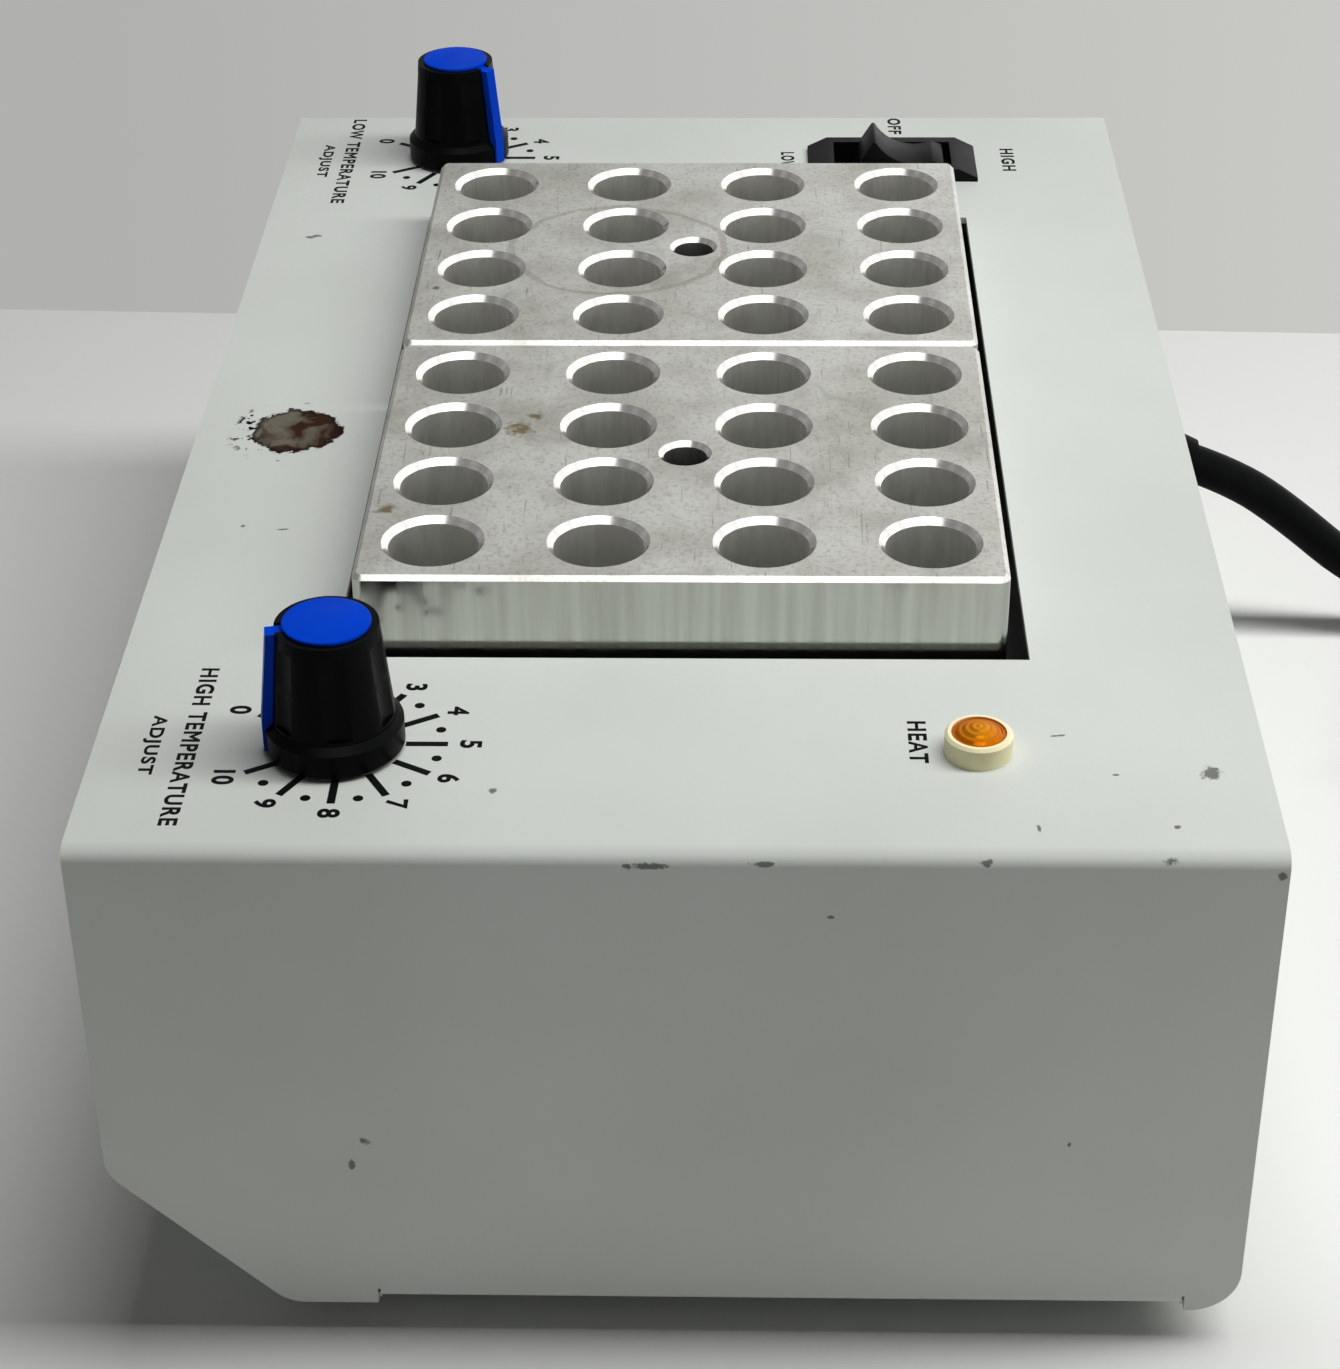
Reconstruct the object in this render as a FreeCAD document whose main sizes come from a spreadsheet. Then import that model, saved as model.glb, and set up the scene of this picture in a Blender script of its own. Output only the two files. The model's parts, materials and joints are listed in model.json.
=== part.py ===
"""Dry block heater: a folded steel case with two bored aluminium blocks standing in a heated well, two
temperature dials, a three-position switch, a heat lamp and a mains lead.

Millimetres. +X is the user's right, +Y the back, +Z up. The origin is on the table, below the middle of
the case.
"""

import FreeCAD, Part
import math
import operator
import os

import Sketcher

SIZES = [
    # the folded case
    ("case_length", 258.0),
    ("case_width", 162.8),
    ("case_height", 81.0),
    ("cover_sheet", 1.2),
    ("wrap_sheet", 0.9),
    ("bend_round", 2.4),
    ("slope_size", 24.4),
    ("slope_round", 6.0),
    ("rear_round", 7.2),
    ("end_gap", 0.1),
    ("wrap_lip", 8.0),
    ("wrap_setback", 4.0),
    ("flange_front_inset", 38.0),
    ("flange_back_inset", 8.2),
    ("flange_width", 22.0),
    ("flange_rise", 1.8),
    ("flange_relief", 0.4),
    ("heel_round", 1.4),
    # feet and their screws
    ("foot_height", 5.0),
    ("foot_across", 14.0),
    ("foot_tip_across", 12.4),
    ("foot_recess_across", 9.0),
    ("foot_recess_depth", 3.0),
    ("foot_inset", 17.0),
    ("foot_front_inset", 47.4),
    ("foot_back_inset", 19.4),
    ("screw_across", 4.0),
    ("screw_head_across", 7.4),
    ("screw_head_height", 2.3),
    ("screw_reach", 8.0),
    ("screw_play", 0.2),
    ("cross_length", 4.2),
    ("cross_width", 0.9),
    ("cross_depth", 1.1),
    # the opening and the well under it
    ("opening_length", 157.6),
    ("opening_margin", 30.7),
    ("opening_centre", 1.4),
    ("liner_setback", 0.9),
    ("liner_sheet", 0.8),
    ("liner_round", 3.0),
    ("plate_margin", 2.0),
    ("plate_thickness", 6.0),
    ("element_margin", 5.0),
    ("element_thickness", 1.0),
    ("tab_length", 4.0),
    ("tab_width", 6.3),
    ("clamp_margin", 2.5),
    ("clamp_thickness", 2.0),
    ("clamp_screw_inset", 12.0),
    ("clamp_screw_across", 4.0),
    ("clamp_screw_grip", 4.0),
    ("clamp_head_across", 7.0),
    ("clamp_head_height", 2.6),
    ("pad_thickness", 13.0),
    ("ring_wall", 5.4),
    ("ring_gap", 0.3),
    ("pan_sheet", 0.9),
    ("pan_gap", 0.2),
    ("pan_depth", 31.0),
    ("pan_flange", 14.0),
    ("pan_flange_inset", 14.3),
    ("pan_round", 1.1),
    ("stud_across", 4.0),
    ("stud_inset", 29.3),
    ("nut_across", 7.0),
    ("nut_height", 3.2),
    # the heating blocks
    ("block_side_gap", 3.075),
    ("block_end_gap", 2.3),
    ("block_height", 50.8),
    ("block_rise", 12.2),
    ("block_gap", 0.6),
    ("block_rest_gap", 0.3),
    ("block_corner_round", 1.6),
    ("block_edge", 0.7),
    ("tube_rows", 4),
    ("tube_columns", 4),
    ("tube_edge_wide", 11.025),
    ("tube_edge_deep", 10.65),
    ("tube_bore", 13.4),
    ("tube_rim", 15.3),
    ("tube_depth", 40.0),
    ("thermometer_bore", 6.8),
    ("thermometer_rim", 8.3),
    ("thermometer_depth", 38.0),
    # the two dials
    ("dial_inset", 33.9),
    ("low_dial_share", 0.4858),
    ("high_dial_share", 0.3452),
    ("low_pointer_angle", 58.0),
    ("high_pointer_angle", 281.0),
    ("knob_lift", 0.8),
    ("knob_height", 20.3),
    ("skirt_across", 19.4),
    ("skirt_height", 4.4),
    ("skirt_edge", 1.0),
    ("grip_foot_across", 17.2),
    ("grip_top_across", 14.4),
    ("flute_count", 6),
    ("flute_round", 7.0),
    ("flute_depth", 0.6),
    ("flute_lean", 5.0),
    ("flute_rim", 2.3),
    ("cap_across", 12.3),
    ("cap_seat", 1.2),
    ("cap_proud", 0.5),
    ("pointer_width", 2.4),
    ("pointer_root", 6.6),
    ("pointer_drop", 0.9),
    ("pointer_top_reach", 8.4),
    ("pointer_foot_reach", 10.0),
    ("nut_cavity_across", 15.4),
    ("nut_cavity_gap", 0.4),
    ("shaft_across", 6.0),
    ("shaft_play", 0.35),
    ("shaft_grip", 0.05),
    ("shaft_top_cover", 4.3),
    ("shaft_drop", 8.5),
    ("bushing_across", 9.4),
    ("bushing_rise", 5.2),
    ("bushing_play", 0.1),
    ("control_across", 16.8),
    ("control_depth", 9.8),
    ("control_tag_length", 6.0),
    ("control_tag_width", 2.0),
    ("control_tag_thickness", 0.6),
    ("control_nut_across", 12.5),
    ("control_nut_height", 2.2),
    # the switch
    ("switch_share", 0.3697),
    ("switch_inset", 43.8),
    ("bezel_width", 32.7),
    ("bezel_depth", 16.0),
    ("bezel_height", 2.6),
    ("bezel_lip", 0.8),
    ("bezel_flat", 25.2),
    ("housing_width", 27.0),
    ("housing_depth", 13.0),
    ("housing_drop", 22.0),
    ("housing_play", 0.3),
    ("catch_width", 8.0),
    ("catch_height", 3.0),
    ("catch_reach", 0.8),
    ("rocker_half_width", 11.0),
    ("rocker_end_rise", 0.85),
    ("rocker_ridge", 10.25),
    ("rocker_depth", 10.4),
    ("rocker_side_drop", 2.6),
    ("rocker_side_draft", 0.5),
    ("rocker_hub", 4.0),
    ("rocker_hub_drop", 5.2),
    ("rocker_scoop_round", 9.17),
    ("rocker_scoop_out", 9.4),
    ("rocker_scoop_up", 11.5),
    ("rocker_gap", 0.35),
    ("rocker_side_gap", 0.4),
    ("rocker_pivot_drop", 2.5),
    ("rocker_tilt", 22.0),
    ("rocker_well_drop", 9.8),
    ("trunnion_across", 2.2),
    ("trunnion_reach", 0.75),
    ("trunnion_play", 0.35),
    # the heat lamp
    ("lamp_share", 0.3756),
    ("lamp_inset", 39.7),
    ("lamp_across", 9.5),
    ("lamp_height", 3.4),
    ("lamp_edge", 0.4),
    ("lamp_stem_across", 7.8),
    ("lamp_stem_drop", 14.0),
    ("lamp_bore", 5.8),
    ("lamp_play", 0.15),
    ("lens_across", 7.6),
    ("lens_seat", 1.0),
    ("lens_rings", 4),
    ("lens_ring_step", 0.35),
    ("lens_dome", 0.7),
    ("clip_across", 12.4),
    ("clip_height", 1.4),
    # the electronics on the back wall
    ("board_right", 45.0),
    ("board_length", 88.0),
    ("board_bottom", 12.0),
    ("board_height", 36.0),
    ("board_thickness", 1.6),
    ("standoff_across", 6.0),
    ("standoff_length", 4.0),
    ("standoff_inset", 5.0),
    ("sink_right", 30.0),
    ("sink_bottom", 18.0),
    ("sink_width", 24.0),
    ("sink_height", 25.0),
    ("sink_depth", 9.5),
    ("sink_wall", 1.5),
    ("triac_width", 10.2),
    ("triac_height", 15.5),
    ("triac_thickness", 4.4),
    ("triac_gap", 0.3),
    ("terminal_right", 74.0),
    ("terminal_width", 24.0),
    ("terminal_height", 10.0),
    ("terminal_depth", 9.0),
    ("terminal_ways", 3),
    ("terminal_hole", 4.0),
    ("sensor_across", 4.0),
    ("sensor_length", 40.0),
    ("sensor_depth", 26.0),
    ("sensor_back", 22.0),
    ("sensor_play", 0.2),
    ("cutout_across", 16.0),
    ("cutout_height", 8.0),
    ("cutout_room", 4.0),
    # the lead, its strain relief, its tie and its plug
    ("cord_across", 7.6),
    ("cord_left", 70.0),
    ("cord_exit_height", 43.0),
    ("relief_flange_across", 15.0),
    ("relief_flange", 2.0),
    ("relief_body_across", 12.4),
    ("relief_body_length", 10.0),
    ("relief_play", 0.1),
    ("sleeve_foot_across", 12.0),
    ("sleeve_tip_across", 9.2),
    ("sleeve_length", 14.0),
    ("sleeve_droop", 21.0),
    ("coil_distance", 118.6),
    ("coil_lift", 5.4),
    ("coil_out", 52.9),
    ("coil_pitch", 8.2),
    ("coil_inward_half_turns", 5),
    ("coil_outward_half_turns", 6),
    ("tie_width", 8.0),
    ("tie_thickness", 1.0),
    ("tie_gap", 0.5),
    ("tie_round", 3.0),
    ("plug_neck_across", 8.6),
    ("plug_neck_foot_across", 13.0),
    ("plug_neck_length", 26.0),
    ("plug_width", 22.0),
    ("plug_height", 25.0),
    ("plug_length", 34.0),
    ("plug_round", 5.0),
    ("blade_spacing", 12.7),
    ("blade_width", 6.3),
    ("blade_thickness", 1.5),
    ("blade_length", 17.5),
    ("earth_pin_across", 4.8),
    ("earth_pin_length", 20.5),
    ("earth_pin_offset", 9.0),
]

document = FreeCAD.newDocument("DryBlockHeater")
sheet = document.addObject("Spreadsheet::Sheet", "sizes")
for row, (alias, amount) in enumerate(SIZES, 1):
    sheet.set(f"A{row}", alias)
    sheet.set(f"B{row}", str(amount))
    sheet.setAlias(f"B{row}", alias)
document.recompute()

SIGNS = {"+": operator.add, "-": operator.sub, "*": operator.mul, "/": operator.truediv}
X_AXIS = FreeCAD.Vector(1, 0, 0)
Y_AXIS = FreeCAD.Vector(0, 1, 0)
Z_AXIS = FreeCAD.Vector(0, 0, 1)
SEPARATE = 1e-3


class Size:
    """A size of the object: the rule that ties it to the sheet, and what it comes to now."""

    def __init__(self, rule, number):
        self.rule = rule
        self.number = number

    def __float__(self):
        return float(self.number)

    def __add__(self, other):
        return combined(self, "+", other)

    def __radd__(self, other):
        return combined(other, "+", self)

    def __sub__(self, other):
        return combined(self, "-", other)

    def __rsub__(self, other):
        return combined(other, "-", self)

    def __mul__(self, other):
        return combined(self, "*", other)

    def __rmul__(self, other):
        return combined(other, "*", self)

    def __truediv__(self, other):
        return combined(self, "/", other)

    def __neg__(self):
        return combined(0, "-", self)


def combined(left, sign, right):
    """The size that two sizes, or a size and a number, come to."""
    left, right = [side if isinstance(side, Size) else Size(f"({side})", side) for side in (left, right)]
    return Size(f"({left.rule} {sign} {right.rule})", SIGNS[sign](left.number, right.number))


def size(alias):
    """A driving size from the sheet."""
    return Size(f"sizes.{alias}", float(sheet.get(alias)))


def count(alias):
    """A whole number from the sheet."""
    return int(sheet.get(alias))


def bind(thing, **properties):
    """Ties properties of a document object to sizes, or sets them where they are plain."""
    for name, amount in properties.items():
        if isinstance(amount, Size):
            setattr(thing, name, float(amount))
            thing.setExpression(name, amount.rule)
        else:
            setattr(thing, name, amount)
    return thing


def place(thing, x=0, y=0, z=0, axis=Z_AXIS, angle=0):
    """Puts a document object at a place that follows the sheet, turned about an axis through it."""
    spot = FreeCAD.Vector(float(x), float(y), float(z))
    thing.Placement = FreeCAD.Placement(spot, FreeCAD.Rotation(axis, float(angle)))
    for name, amount in (("x", x), ("y", y), ("z", z)):
        if isinstance(amount, Size):
            thing.setExpression(f"Placement.Base.{name}", amount.rule)
    if isinstance(angle, Size):
        thing.setExpression("Placement.Rotation.Angle", angle.rule)
    return thing


PIECES = []


def piece(thing, node):
    """Names a finished sub-part and adds it to those that are written out."""
    thing.Label = node
    PIECES.append(thing)
    return thing


# Bodies, sketches and features


def new_body(name):
    return document.addObject("PartDesign::Body", name)


def new_sketch(body, name, plane="XY_Plane", offset=0):
    """A sketch on one of its body's origin planes, moved along that plane's normal."""
    sketch = body.newObject("Sketcher::SketchObject", name)
    planes = [feature for feature in body.Origin.OriginFeatures if feature.Role == plane]
    sketch.AttachmentSupport = [(planes[0], "")]
    sketch.MapMode = "FlatFace"
    sketch.AttachmentOffset = FreeCAD.Placement(FreeCAD.Vector(0, 0, float(offset)), FreeCAD.Rotation())
    if isinstance(offset, Size):
        sketch.setExpression("AttachmentOffset.Base.z", offset.rule)
    return sketch


def hold(sketch, kind, geometry, point, amount):
    """Ties one coordinate of a point of a sketch to a size."""
    rule = sketch.addConstraint(Sketcher.Constraint(kind, -1, 1, geometry, point, float(amount)))
    if isinstance(amount, Size):
        sketch.setExpression(f"Constraints[{rule}]", amount.rule)


def draw_outline(sketch, corners):
    """A closed straight-sided outline whose corners follow the sheet."""
    spots = [FreeCAD.Vector(float(across), float(up), 0) for across, up in corners]
    first = sketch.GeometryCount
    for number, spot in enumerate(spots):
        sketch.addGeometry(Part.LineSegment(spot, spots[(number + 1) % len(spots)]), False)
    for number, (across, up) in enumerate(corners):
        line = first + number
        line_before = first + (number - 1) % len(corners)
        sketch.addConstraint(Sketcher.Constraint("Coincident", line_before, 2, line, 1))
        hold(sketch, "DistanceX", line, 1, across)
        hold(sketch, "DistanceY", line, 1, up)


def draw_rectangle(sketch, left, right, low, high):
    draw_outline(sketch, [(left, low), (right, low), (right, high), (left, high)])


def draw_circle(sketch, across, up, radius):
    centre = FreeCAD.Vector(float(across), float(up), 0)
    circle = sketch.addGeometry(Part.Circle(centre, Z_AXIS, float(radius)), False)
    hold(sketch, "DistanceX", circle, 3, across)
    hold(sketch, "DistanceY", circle, 3, up)
    rule = sketch.addConstraint(Sketcher.Constraint("Radius", circle, float(radius)))
    if isinstance(radius, Size):
        sketch.setExpression(f"Constraints[{rule}]", radius.rule)


def pad(body, name, sketch, length, both_ways=False, downwards=False, lean=0):
    feature = body.newObject("PartDesign::Pad", name)
    feature.Profile = sketch
    feature.SideType = "Symmetric" if both_ways else "One side"
    feature.Reversed = downwards
    bind(feature, Length=length, TaperAngle=lean)
    document.recompute()
    return feature


def pocket(body, name, sketch, length, both_ways=False, reversed_way=False, lean=0):
    """A pocket that has to take material away."""
    before = body.Tip.Shape.Volume
    feature = body.newObject("PartDesign::Pocket", name)
    feature.Profile = sketch
    feature.SideType = "Symmetric" if both_ways else "One side"
    feature.Reversed = reversed_way
    bind(feature, Length=length, TaperAngle=lean)
    document.recompute()
    if feature.Shape.Volume >= before - SEPARATE:
        raise RuntimeError(f"{name} takes nothing away")
    return feature


def revolve(body, name, sketch):
    """A full turn of a profile about its sketch's upright axis."""
    feature = body.newObject("PartDesign::Revolution", name)
    feature.Profile = sketch
    feature.ReferenceAxis = (sketch, ["V_Axis"])
    feature.Angle = 360
    document.recompute()
    return feature


def straight_edges(feature, axis, test):
    """The names of a feature's straight edges along an axis whose middles pass a test."""
    names = []
    for number, edge in enumerate(feature.Shape.Edges, 1):
        if isinstance(edge.Curve, Part.Line) and abs(edge.Curve.Direction.dot(axis)) > 1 - SEPARATE:
            if test(edge.CenterOfMass):
                names.append(f"Edge{number}")
    return names


def near(left, right):
    return abs(float(left) - float(right)) < 10 * SEPARATE


def round_edges(body, name, edges, radius):
    before = body.Tip
    feature = body.newObject("PartDesign::Fillet", name)
    feature.Base = (before, edges)
    bind(feature, Radius=radius)
    document.recompute()
    return feature


def bevel_edges(body, name, edges, amount):
    before = body.Tip
    feature = body.newObject("PartDesign::Chamfer", name)
    feature.Base = (before, edges)
    bind(feature, Size=amount)
    document.recompute()
    return feature


# Plain solids and their joins


def box(name, left, right, front, back, low, high):
    """A box between six faces."""
    solid = document.addObject("Part::Box", name)
    bind(solid, Length=right - left, Width=back - front, Height=high - low)
    return place(solid, left, front, low)


def rod(name, across, length, x=0, y=0, z=0, axis=Z_AXIS, angle=0):
    """A round rod from a place along +Z, or along where a turn about an axis takes that."""
    solid = document.addObject("Part::Cylinder", name)
    bind(solid, Radius=across / 2, Height=length)
    return place(solid, x, y, z, axis, angle)


def joined(name, solids):
    whole = document.addObject("Part::MultiFuse", name)
    whole.Shapes = solids
    whole.Refine = True
    return whole


def trimmed(name, solid, tools):
    """A solid with one or more others cut out of it."""
    cut = document.addObject("Part::Cut", name)
    cut.Base = solid
    cut.Tool = tools[0] if len(tools) == 1 else joined(f"{name}_tools", tools)
    return cut


# Places that several pieces share

foot_height = size("foot_height")
top = foot_height + size("case_height")
cover_sheet = size("cover_sheet")
wrap_sheet = size("wrap_sheet")
under_top = top - cover_sheet
half_length = size("case_length") / 2
half_width = size("case_width") / 2
slope = size("slope_size")
flange_low = foot_height + wrap_sheet
flange_front = half_width - size("flange_front_inset")
flange_back = half_width - size("flange_back_inset")
foot_out = half_length - size("foot_inset")

well_middle = size("opening_centre")
half_opening = size("opening_length") / 2
half_opening_width = half_width - size("opening_margin")
block_depth = half_opening - size("block_end_gap") - size("block_gap") / 2
block_width = (half_opening_width - size("block_side_gap")) * 2
half_liner_length = half_opening + size("liner_setback")
half_liner_width = half_opening_width + size("liner_setback")
plate_top = top + size("block_rise") - size("block_height") - size("block_rest_gap")
plate_low = plate_top - size("plate_thickness")
half_plate_length = half_liner_length + size("liner_sheet") + size("plate_margin")
half_plate_width = half_liner_width + size("liner_sheet") + size("plate_margin")
element_low = plate_low - size("element_thickness")
clamp_low = element_low - size("clamp_thickness")
half_ring_length = half_plate_length + size("ring_gap") + size("ring_wall")
half_ring_width = half_plate_width + size("ring_gap") + size("ring_wall")
pad_low = clamp_low - size("pad_thickness")
half_pan_length = half_ring_length + size("pan_gap") + size("pan_sheet")
half_pan_width = half_ring_width + size("pan_gap") + size("pan_sheet")
pan_low = pad_low - size("pan_sheet")
pan_top = pan_low + size("pan_depth")
stud_out = half_pan_width + size("pan_flange") / 2
stud_along = half_pan_length - size("stud_inset")
stud_low = pan_top - size("pan_sheet") - size("nut_height") - size("pan_sheet")
clamp_screw_out = half_plate_length - size("clamp_screw_inset")
clamp_screw_aside = half_plate_width - size("clamp_screw_inset")
CORNERS = [("left_front", -1, -1), ("right_front", 1, -1), ("right_back", 1, 1), ("left_back", -1, 1)]

left_room = half_length + well_middle - half_ring_length
right_room = half_length - well_middle - half_ring_length
low_dial_x = left_room * (1 - size("low_dial_share")) - half_length
high_dial_x = half_length - right_room * (1 - size("high_dial_share"))
dial_y = size("dial_inset") - half_width
DIALS = {"low": (low_dial_x, dial_y), "high": (high_dial_x, dial_y)}
switch_x = left_room * (1 - size("switch_share")) - half_length
switch_y = half_width - size("switch_inset")
lamp_x = half_length - right_room * (1 - size("lamp_share"))
lamp_y = half_width - size("lamp_inset")


def foot_spot(x_side, y_side):
    """Where a foot stands, by its side along X and along Y."""
    inset = size("foot_back_inset") if y_side > 0 else size("foot_front_inset")
    return x_side * foot_out, (half_width - inset) * y_side


# The case


def make_cover():
    """Top and end panels from one sheet, with the block opening, the holes for the controls, a return
    flange along the foot of each end and the studs that carry the well."""
    body = new_body("cover_body")
    inner = half_length - cover_sheet
    fold = new_sketch(body, "cover_fold", "XZ_Plane")
    draw_outline(
        fold,
        [
            (-half_length, foot_height),
            (-half_length, top),
            (half_length, top),
            (half_length, foot_height),
            (inner, foot_height),
            (inner, under_top),
            (-inner, under_top),
            (-inner, foot_height),
        ],
    )
    folded = pad(body, "cover_panels", fold, size("case_width"), both_ways=True)
    outer_bends = straight_edges(folded, Y_AXIS, lambda at: near(at.z, top) and near(abs(at.x), half_length))
    folded = round_edges(body, "cover_outer_bends", outer_bends, size("bend_round"))
    inner_bends = straight_edges(folded, Y_AXIS, lambda at: near(at.z, under_top) and near(abs(at.x), inner))
    round_edges(body, "cover_inner_bends", inner_bends, size("bend_round") - cover_sheet)

    corner = new_sketch(body, "cover_slope_cut", "YZ_Plane")
    past = size("cover_sheet")
    draw_outline(
        corner,
        [
            (-half_width - past, foot_height + slope + past),
            (-half_width - past, foot_height - past),
            (slope - half_width + past, foot_height - past),
        ],
    )
    sloped = pocket(body, "cover_slope", corner, size("case_length") + past, both_ways=True)

    def at_slope(spot):
        upper = near(spot.y, -half_width) and near(spot.z, foot_height + slope)
        lower = near(spot.y, slope - half_width) and near(spot.z, foot_height)
        return upper or lower

    rounded = round_edges(
        body, "cover_slope_rounds", straight_edges(sloped, X_AXIS, at_slope), size("slope_round")
    )
    rear = straight_edges(rounded, X_AXIS, lambda at: near(at.y, half_width) and near(at.z, foot_height))
    round_edges(body, "cover_rear_rounds", rear, size("rear_round"))

    holes = new_sketch(body, "cover_holes", offset=top)
    draw_rectangle(
        holes,
        well_middle - half_opening,
        well_middle + half_opening,
        -half_opening_width,
        half_opening_width,
    )
    half_cutout = size("housing_depth") / 2 + size("housing_play")
    half_cutout_width = size("housing_width") / 2 + size("housing_play")
    draw_rectangle(
        holes,
        switch_x - half_cutout,
        switch_x + half_cutout,
        switch_y - half_cutout_width,
        switch_y + half_cutout_width,
    )
    for x, y in DIALS.values():
        draw_circle(holes, x, y, size("bushing_across") / 2 + size("bushing_play"))
    draw_circle(holes, lamp_x, lamp_y, size("lamp_stem_across") / 2 + size("lamp_play"))
    pocket(body, "cover_openings", holes, cover_sheet * 2)

    flange_top = flange_low + size("flange_rise")
    relief = size("flange_relief")
    notch = new_sketch(body, "cover_notch", "YZ_Plane")
    draw_rectangle(
        notch,
        -flange_front - relief,
        flange_back + relief,
        foot_height - past,
        flange_top,
    )
    pocket(body, "cover_reliefs", notch, size("case_length") + past, both_ways=True)
    flange_fold = new_sketch(body, "cover_flange_fold", "XZ_Plane", offset=-flange_back)
    for side in (-1, 1):
        draw_outline(
            flange_fold,
            [
                (side * half_length, flange_top),
                (side * half_length, flange_low),
                (side * (half_length - size("flange_width")), flange_low),
                (side * (half_length - size("flange_width")), flange_low + cover_sheet),
                (side * inner, flange_low + cover_sheet),
                (side * inner, flange_top),
            ],
        )
    flange_length = flange_front + flange_back
    flanged = pad(body, "cover_flanges", flange_fold, flange_length)
    heel = straight_edges(flanged, Y_AXIS, lambda at: near(at.z, flange_low) and near(abs(at.x), half_length))
    flanged = round_edges(body, "cover_flange_heels", heel, size("heel_round"))
    throat_height = flange_low + cover_sheet
    throat = straight_edges(flanged, Y_AXIS, lambda at: near(at.z, throat_height) and near(abs(at.x), inner))
    round_edges(body, "cover_flange_throats", throat, size("heel_round") - cover_sheet)

    screw_holes = new_sketch(body, "cover_screw_holes", offset=throat_height)
    for _, x_side, y_side in CORNERS:
        x, y = foot_spot(x_side, y_side)
        draw_circle(screw_holes, x, y, size("screw_across") / 2 + size("screw_play"))
    pocket(body, "cover_screw_taps", screw_holes, cover_sheet)
    studs = new_sketch(body, "cover_stud_plan", offset=under_top)
    for _, x_side, y_side in CORNERS:
        draw_circle(
            studs, well_middle + x_side * stud_along, y_side * stud_out, size("stud_across") / 2
        )
    pad(body, "cover_studs", studs, under_top - stud_low, downwards=True)
    piece(body, "cover")


def make_base_wrap():
    """Front wall, sloping lower front, bottom, rounded rear corner and back wall from one sheet, with a
    lip under each long edge of the top panel."""
    body = new_body("wrap_body")
    length = size("case_length") - 2 * (cover_sheet + size("end_gap"))
    outline = new_sketch(body, "wrap_outline", "YZ_Plane")
    draw_outline(
        outline,
        [
            (-half_width, under_top),
            (-half_width, foot_height + slope),
            (slope - half_width, foot_height),
            (half_width, foot_height),
            (half_width, under_top),
        ],
    )
    bar = pad(body, "wrap_bar", outline, length, both_ways=True)

    def at_slope(spot):
        upper = near(spot.y, -half_width) and near(spot.z, foot_height + slope)
        lower = near(spot.y, slope - half_width) and near(spot.z, foot_height)
        return upper or lower

    round_edges(body, "wrap_slope_rounds", straight_edges(bar, X_AXIS, at_slope), size("slope_round"))

    hollow = new_sketch(body, "wrap_hollow", "YZ_Plane")
    inset = wrap_sheet * (math.sqrt(2) - 1)
    floor = foot_height + wrap_sheet
    wall = half_width - wrap_sheet
    draw_outline(
        hollow,
        [
            (-wall, under_top - wrap_sheet),
            (-wall, foot_height + slope + inset),
            (slope - half_width + inset, floor),
            (wall, floor),
            (wall, under_top - wrap_sheet),
        ],
    )
    hollowed = pocket(body, "wrap_inside", hollow, length + 1, both_ways=True)

    def in_slope(spot):
        upper = near(spot.y, -wall) and near(spot.z, foot_height + slope + inset)
        lower = near(spot.y, slope - half_width + inset) and near(spot.z, floor)
        return upper or lower

    inner_round = size("slope_round") - wrap_sheet
    hollowed = round_edges(
        body, "wrap_inner_slope_rounds", straight_edges(hollowed, X_AXIS, in_slope), inner_round
    )
    rear = straight_edges(hollowed, X_AXIS, lambda at: near(at.y, wall) and near(at.z, floor))
    hollowed = round_edges(body, "wrap_inner_rear_round", rear, size("rear_round") - wrap_sheet)
    rear = straight_edges(hollowed, X_AXIS, lambda at: near(at.y, half_width) and near(at.z, foot_height))
    round_edges(body, "wrap_rear_round", rear, size("rear_round"))

    mouth = new_sketch(body, "wrap_mouth", "YZ_Plane")
    lip = half_width - size("wrap_lip")
    draw_rectangle(mouth, -lip, lip, under_top - 2 * wrap_sheet, under_top + wrap_sheet)
    pocket(body, "wrap_lips", mouth, length + 1, both_ways=True)
    screw_holes = new_sketch(body, "wrap_screw_holes", offset=floor)
    for _, x_side, y_side in CORNERS:
        x, y = foot_spot(x_side, y_side)
        draw_circle(screw_holes, x, y, size("screw_across") / 2 + size("screw_play"))
    pocket(body, "wrap_screw_clearances", screw_holes, wrap_sheet)
    ends = new_sketch(body, "wrap_end_notches", offset=floor)
    for side in (-1, 1):
        near_end = side * (half_length - size("wrap_setback"))
        past_end = side * half_length
        draw_rectangle(ends, near_end, past_end, -flange_front, flange_back)
    pocket(body, "wrap_setbacks", ends, wrap_sheet)
    cord_hole = new_sketch(body, "wrap_cord_hole", "XZ_Plane", offset=wrap_sheet - half_width)
    cord_radius = size("relief_body_across") / 2 + size("relief_play")
    draw_circle(cord_hole, -size("cord_left"), size("cord_exit_height"), cord_radius)
    pocket(body, "wrap_cord_opening", cord_hole, wrap_sheet)
    piece(body, "base_wrap")


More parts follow.
